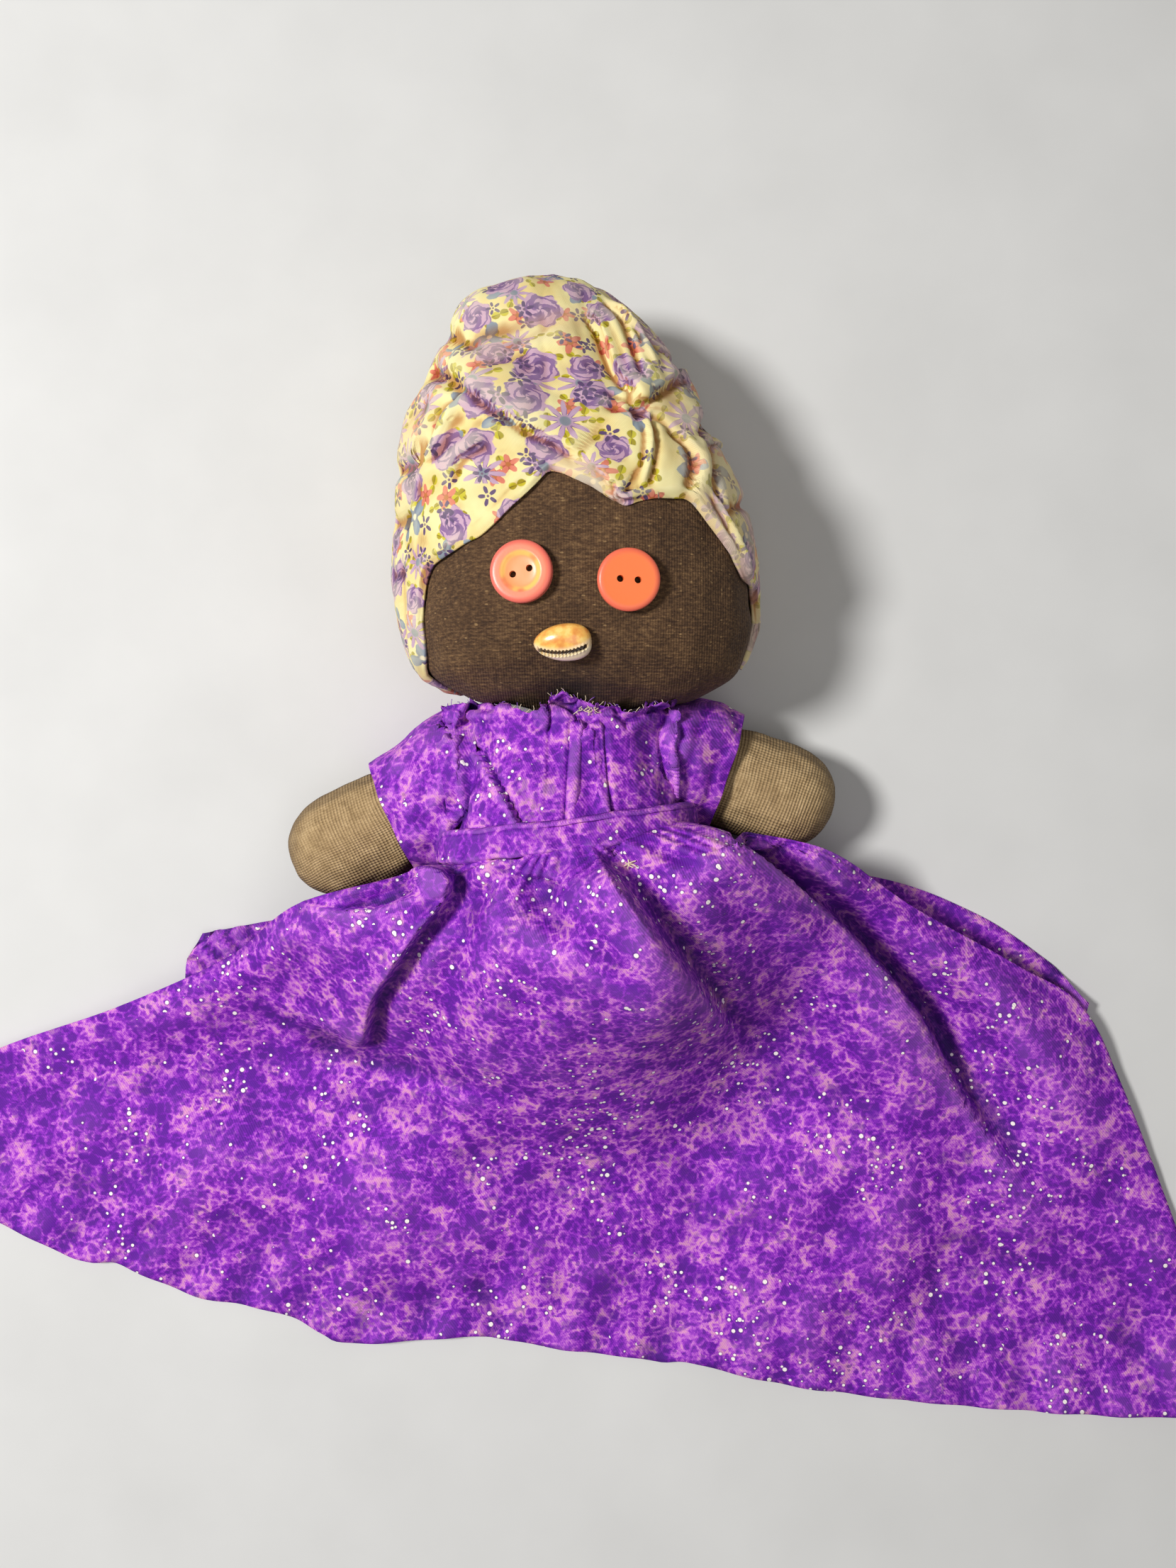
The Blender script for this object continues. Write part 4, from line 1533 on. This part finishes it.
def cowrie(turn):
    """The shell: an egg-shaped back drawn to a point at the left, with the toothed slit on its face."""
    name = "cowrie_shell"
    near, normal, _, _ = solid("head_cover").find_nearest(Vector(place_of(name)))
    normal = np.array(normal)
    middle = np.array(near) + normal * 0.0027
    across = own_x(normal, turn)
    rows, columns = 150, 170
    t = np.linspace(0, math.pi, rows + 2)[1:-1, None]
    a = 2 * math.pi * np.arange(columns)[None] / columns
    x = -np.cos(t) * 0.0089
    wide = np.sin(t) ** (1.02 - 0.26 * smooth(0.9, 2.2, t)) * (1 - 0.16 * np.cos(t)) * 0.0058
    tall = np.sin(t) ** 0.9 * (1 - 0.12 * np.cos(t)) * 0.0039
    y, z = wide * np.cos(a), tall * np.sin(a)
    x = x + 0 * a
    front = smooth(0.0, 0.0012, z)
    slit = -0.0026 + 22 * x * x + 0.06 * x
    above = y - slit
    along = 1 - smooth(0.0064, 0.0080, np.abs(x))
    teeth = 0.5 + 0.5 * np.sin(x * 2 * math.pi / 0.00112)
    half = (0.00052 + 0.00036 * teeth) * (1.05 - 40 * x)
    cut = 0.0020 * (1 - smooth(half, half + 0.00028, np.abs(above))) * along * front
    ribs = 0.00016 * teeth * np.exp(-((np.abs(above) - 0.0010) / 0.0005) ** 2) * along * front
    lips = 0.00035 * np.exp(-((np.abs(above) - 0.0008) / 0.0006) ** 2) * along * front
    z = z - cut - ribs + lips
    grid = np.stack([x, y, z], axis=-1).reshape(-1, 3)
    ends = np.array([(-0.0091, 0, 0), (0.0090, 0, 0)])
    faces = grid_faces(rows, columns, True)
    last = (rows - 1) * columns
    faces += [(rows * columns, (k + 1) % columns, k) for k in range(columns)]
    faces += [(rows * columns + 1, last + k, last + (k + 1) % columns) for k in range(columns)]
    mesh = bpy.data.meshes.new("cowrie")
    mesh.from_pydata([tuple(p) for p in np.vstack([grid, ends])], [], [f[::-1] for f in faces])
    mesh.shade_smooth()
    mesh.materials.append(shell_paint())
    made = bpy.data.objects.new("cowrie_mouth", mesh)
    bpy.context.scene.collection.objects.link(made)
    set_down(made, middle, normal, across)
    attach(made, "root")
    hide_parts(name)
    return made


def strand(name, routes, radius, paint):
    """Fine threads along routes, as closed tubes."""
    points, faces, sides = [], [], 6
    for route in routes:
        route = curve(route, max(8, 5 * len(route)))
        first = len(points)
        heading = unit(np.gradient(route, axis=0))
        side = unit(np.cross(heading, (0.31, 0.22, 0.92)))
        other = np.cross(heading, side)
        for k, place in enumerate(route):
            size = radius * (0.35 if k in (0, len(route) - 1) else 1)
            for n in range(sides):
                turn = 2 * math.pi * n / sides
                points.append(place + size * (math.cos(turn) * side[k] + math.sin(turn) * other[k]))
        for k in range(len(route) - 1):
            for n in range(sides):
                a, b = first + k * sides + n, first + k * sides + (n + 1) % sides
                faces.append((a, b, b + sides, a + sides))
        faces.append([first + n for n in range(sides)][::-1])
        faces.append([first + (len(route) - 1) * sides + n for n in range(sides)])
    made = shaped(name, points, faces, paint)
    return made


def stray_threads(grid):
    chance = np.random.default_rng(7)
    routes = []
    # The raw neckline frays
    top = grid[0]
    for k in range(2, grid.shape[1] - 2, 3):
        place = top[k] + UP * 0.0002
        length = chance.uniform(0.0007, 0.0024)
        lean = np.array((chance.uniform(-0.8, 0.8), chance.uniform(0.3, 1.0), chance.uniform(-0.1, 0.6)))
        bend = np.array((chance.uniform(-0.5, 0.5), chance.uniform(-0.4, 0.4), chance.uniform(-0.2, 0.3)))
        routes.append([place - lean * 0.0004, place + lean * length * 0.5, place + (lean + bend) * length])
    strand("frayed_neckline", routes[::2], 0.00011, PURPLE_THREAD)
    strand("frayed_neckline_pale", routes[1::2], 0.00010, THREAD)
    bodice = solid("bodice_front", "torso_cover")
    tufts = []
    for u, v in ((820, 984), (826, 990), (815, 988), (832, 996), (786, 990), (848, 992), (838, 1000)):
        place = seen(bodice, u, v, 0.05) + UP * 0.0022
        for _ in range(4):
            lean = chance.uniform(-1, 1, 3) * (1, 1, 0.4) + (0, 0, 0.3)
            bend = chance.uniform(-1, 1, 3) * (1, 1, 0.3)
            tufts.append([place, place + lean * 0.0012, place + lean * 0.0018 + bend * 0.0014])
    strand("neckline_tuft", tufts, 0.00014, THREAD)


def thread_on(tree, pixels, lift, level):
    return [seen(tree, u, v, level) + UP * h for (u, v), h in zip(pixels, lift)]


# Run

skirt = skirt_front()
skirt_shape = ([v.co.copy() for v in skirt.data.vertices], [list(f.vertices) for f in skirt.data.polygons])
back = skirt_back(skirt_shape)
wrap = headwrap()
head()
LEFT_ROOT, LEFT_END = np.array((-0.028, -0.0211)), np.array((-0.081, -0.045))
RIGHT_ROOT, RIGHT_END = np.array((0.026, -0.0125)), np.array((0.0725, -0.0280))
arm("left", LEFT_WAY, LEFT_ROOT, LEFT_END, sheer_paint("sheer_knit_left", LEFT_WAY))
arm("right", RIGHT_WAY, RIGHT_ROOT, RIGHT_END, sheer_paint("sheer_knit_right", RIGHT_WAY))
bodice, bodice_grid = bodice_front()
left_sleeve = sleeve("left", LEFT_WAY, LEFT_ROOT)
right_sleeve = sleeve("right", RIGHT_WAY, RIGHT_ROOT)
band = waistband()
left_plastic = button_paint("left_button", rgb(244, 130, 92), rgb(234, 112, 96), rgb(252, 158, 100))
right_plastic = button_paint("right_button", rgb(252, 124, 64), rgb(240, 112, 84), None)
button("left", 19.0, True, left_plastic)
button("right", -4.0, False, right_plastic)
cowrie(4.0)
stray_threads(bodice_grid)
wrap_tree = BVHTree.FromObject(wrap, bpy.context.evaluated_depsgraph_get())
# A thread that hangs from the wrap over the brow, and a tuft where the skirt's gathers were sewn
BROW_THREAD = ((928, 694), (929, 703), (929, 711), (924, 716), (919, 713))
SKIRT_TUFT = (
    ((880, 1222), (888, 1217), (897, 1214)), ((882, 1216), (888, 1221), (894, 1224)),
    ((886, 1212), (887, 1218), (885, 1226)), ((884, 1219), (892, 1219), (899, 1223)),
)
loose = thread_on(wrap_tree, BROW_THREAD, (0.0006, 0.0012, 0.0016, 0.0014, 0.0010), 0.08)
strand("loose_wrap_thread", [loose], 0.00028, THREAD)
skirt_tree = BVHTree.FromObject(skirt, bpy.context.evaluated_depsgraph_get())
tuft = [thread_on(skirt_tree, path, (0.0004, 0.0012, 0.0008), 0.05) for path in SKIRT_TUFT]
strand("loose_skirt_tuft", tuft, 0.00022, THREAD)

# Materials of the solids that stay as they are
for paint, names in (
    (WRAP, ["headwrap"]), (DRESS, ["bodice_back"]), (KNIT, ["torso_cover"]), (DARK_THREAD, ["neck_tie"]),
    (WADDING, ["head_stuffing", "torso_stuffing", "arm_stuffing_left", "arm_stuffing_right"]),
):
    for name in names:
        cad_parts[name].data.materials.clear()
        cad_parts[name].data.materials.append(paint)

# Stage

floor_mesh = bpy.data.meshes.new("floor")
floor_mesh.from_pydata([(-3, -3, 0), (3, -3, 0), (3, 3, 0), (-3, 3, 0)], [], [(0, 1, 2, 3)])
floor = bpy.data.objects.new("floor", floor_mesh)
bpy.context.scene.collection.objects.link(floor)
floor.location.z = -0.0002
floor_paint = Paint("floor", 0.9)
floor_at = floor_paint.place()
floor_tone = floor_paint.noise(floor_at, 0.02, 4.0)
floor_colour = floor_paint.ramp(floor_tone, (0.3, rgb(212, 211, 208)), (0.7, rgb(218, 217, 214)))
floor_mesh.materials.append(floor_paint.finish(floor_colour))

world = bpy.data.worlds.new("world")
bpy.context.scene.world = world
world.use_nodes = True
world.node_tree.nodes["Background"].inputs[0].default_value = (1, 1, 1, 1)
world.node_tree.nodes["Background"].inputs[1].default_value = 0.19


def lamp(name, place, aim, size, power):
    data = bpy.data.lights.new(name, "AREA")
    data.shape = "DISK"
    data.size = size
    data.energy = power
    made = bpy.data.objects.new(name, data)
    made.location = Vector(place)
    made.rotation_euler = (Vector(aim) - Vector(place)).to_track_quat("-Z", "Y").to_euler()
    bpy.context.scene.collection.objects.link(made)


lamp("key", NECK + (-0.66, 0.12, 1.0), NECK + (0, -0.04, 0), 0.24, 13.2)
lamp("fill", NECK + (0.2, -0.2, 1.2), NECK + (0, -0.05, 0), 0.8, 2.2)

camera = bpy.data.objects.new("camera", bpy.data.cameras.new("camera"))
bpy.context.scene.collection.objects.link(camera)
camera.location = Vector(EYE)
camera.data.sensor_width = 36
camera.data.lens = FOCAL / 2212 * 36
camera.data.clip_start = 0.01
bpy.context.scene.camera = camera
bpy.context.scene.view_settings.view_transform = "Standard"
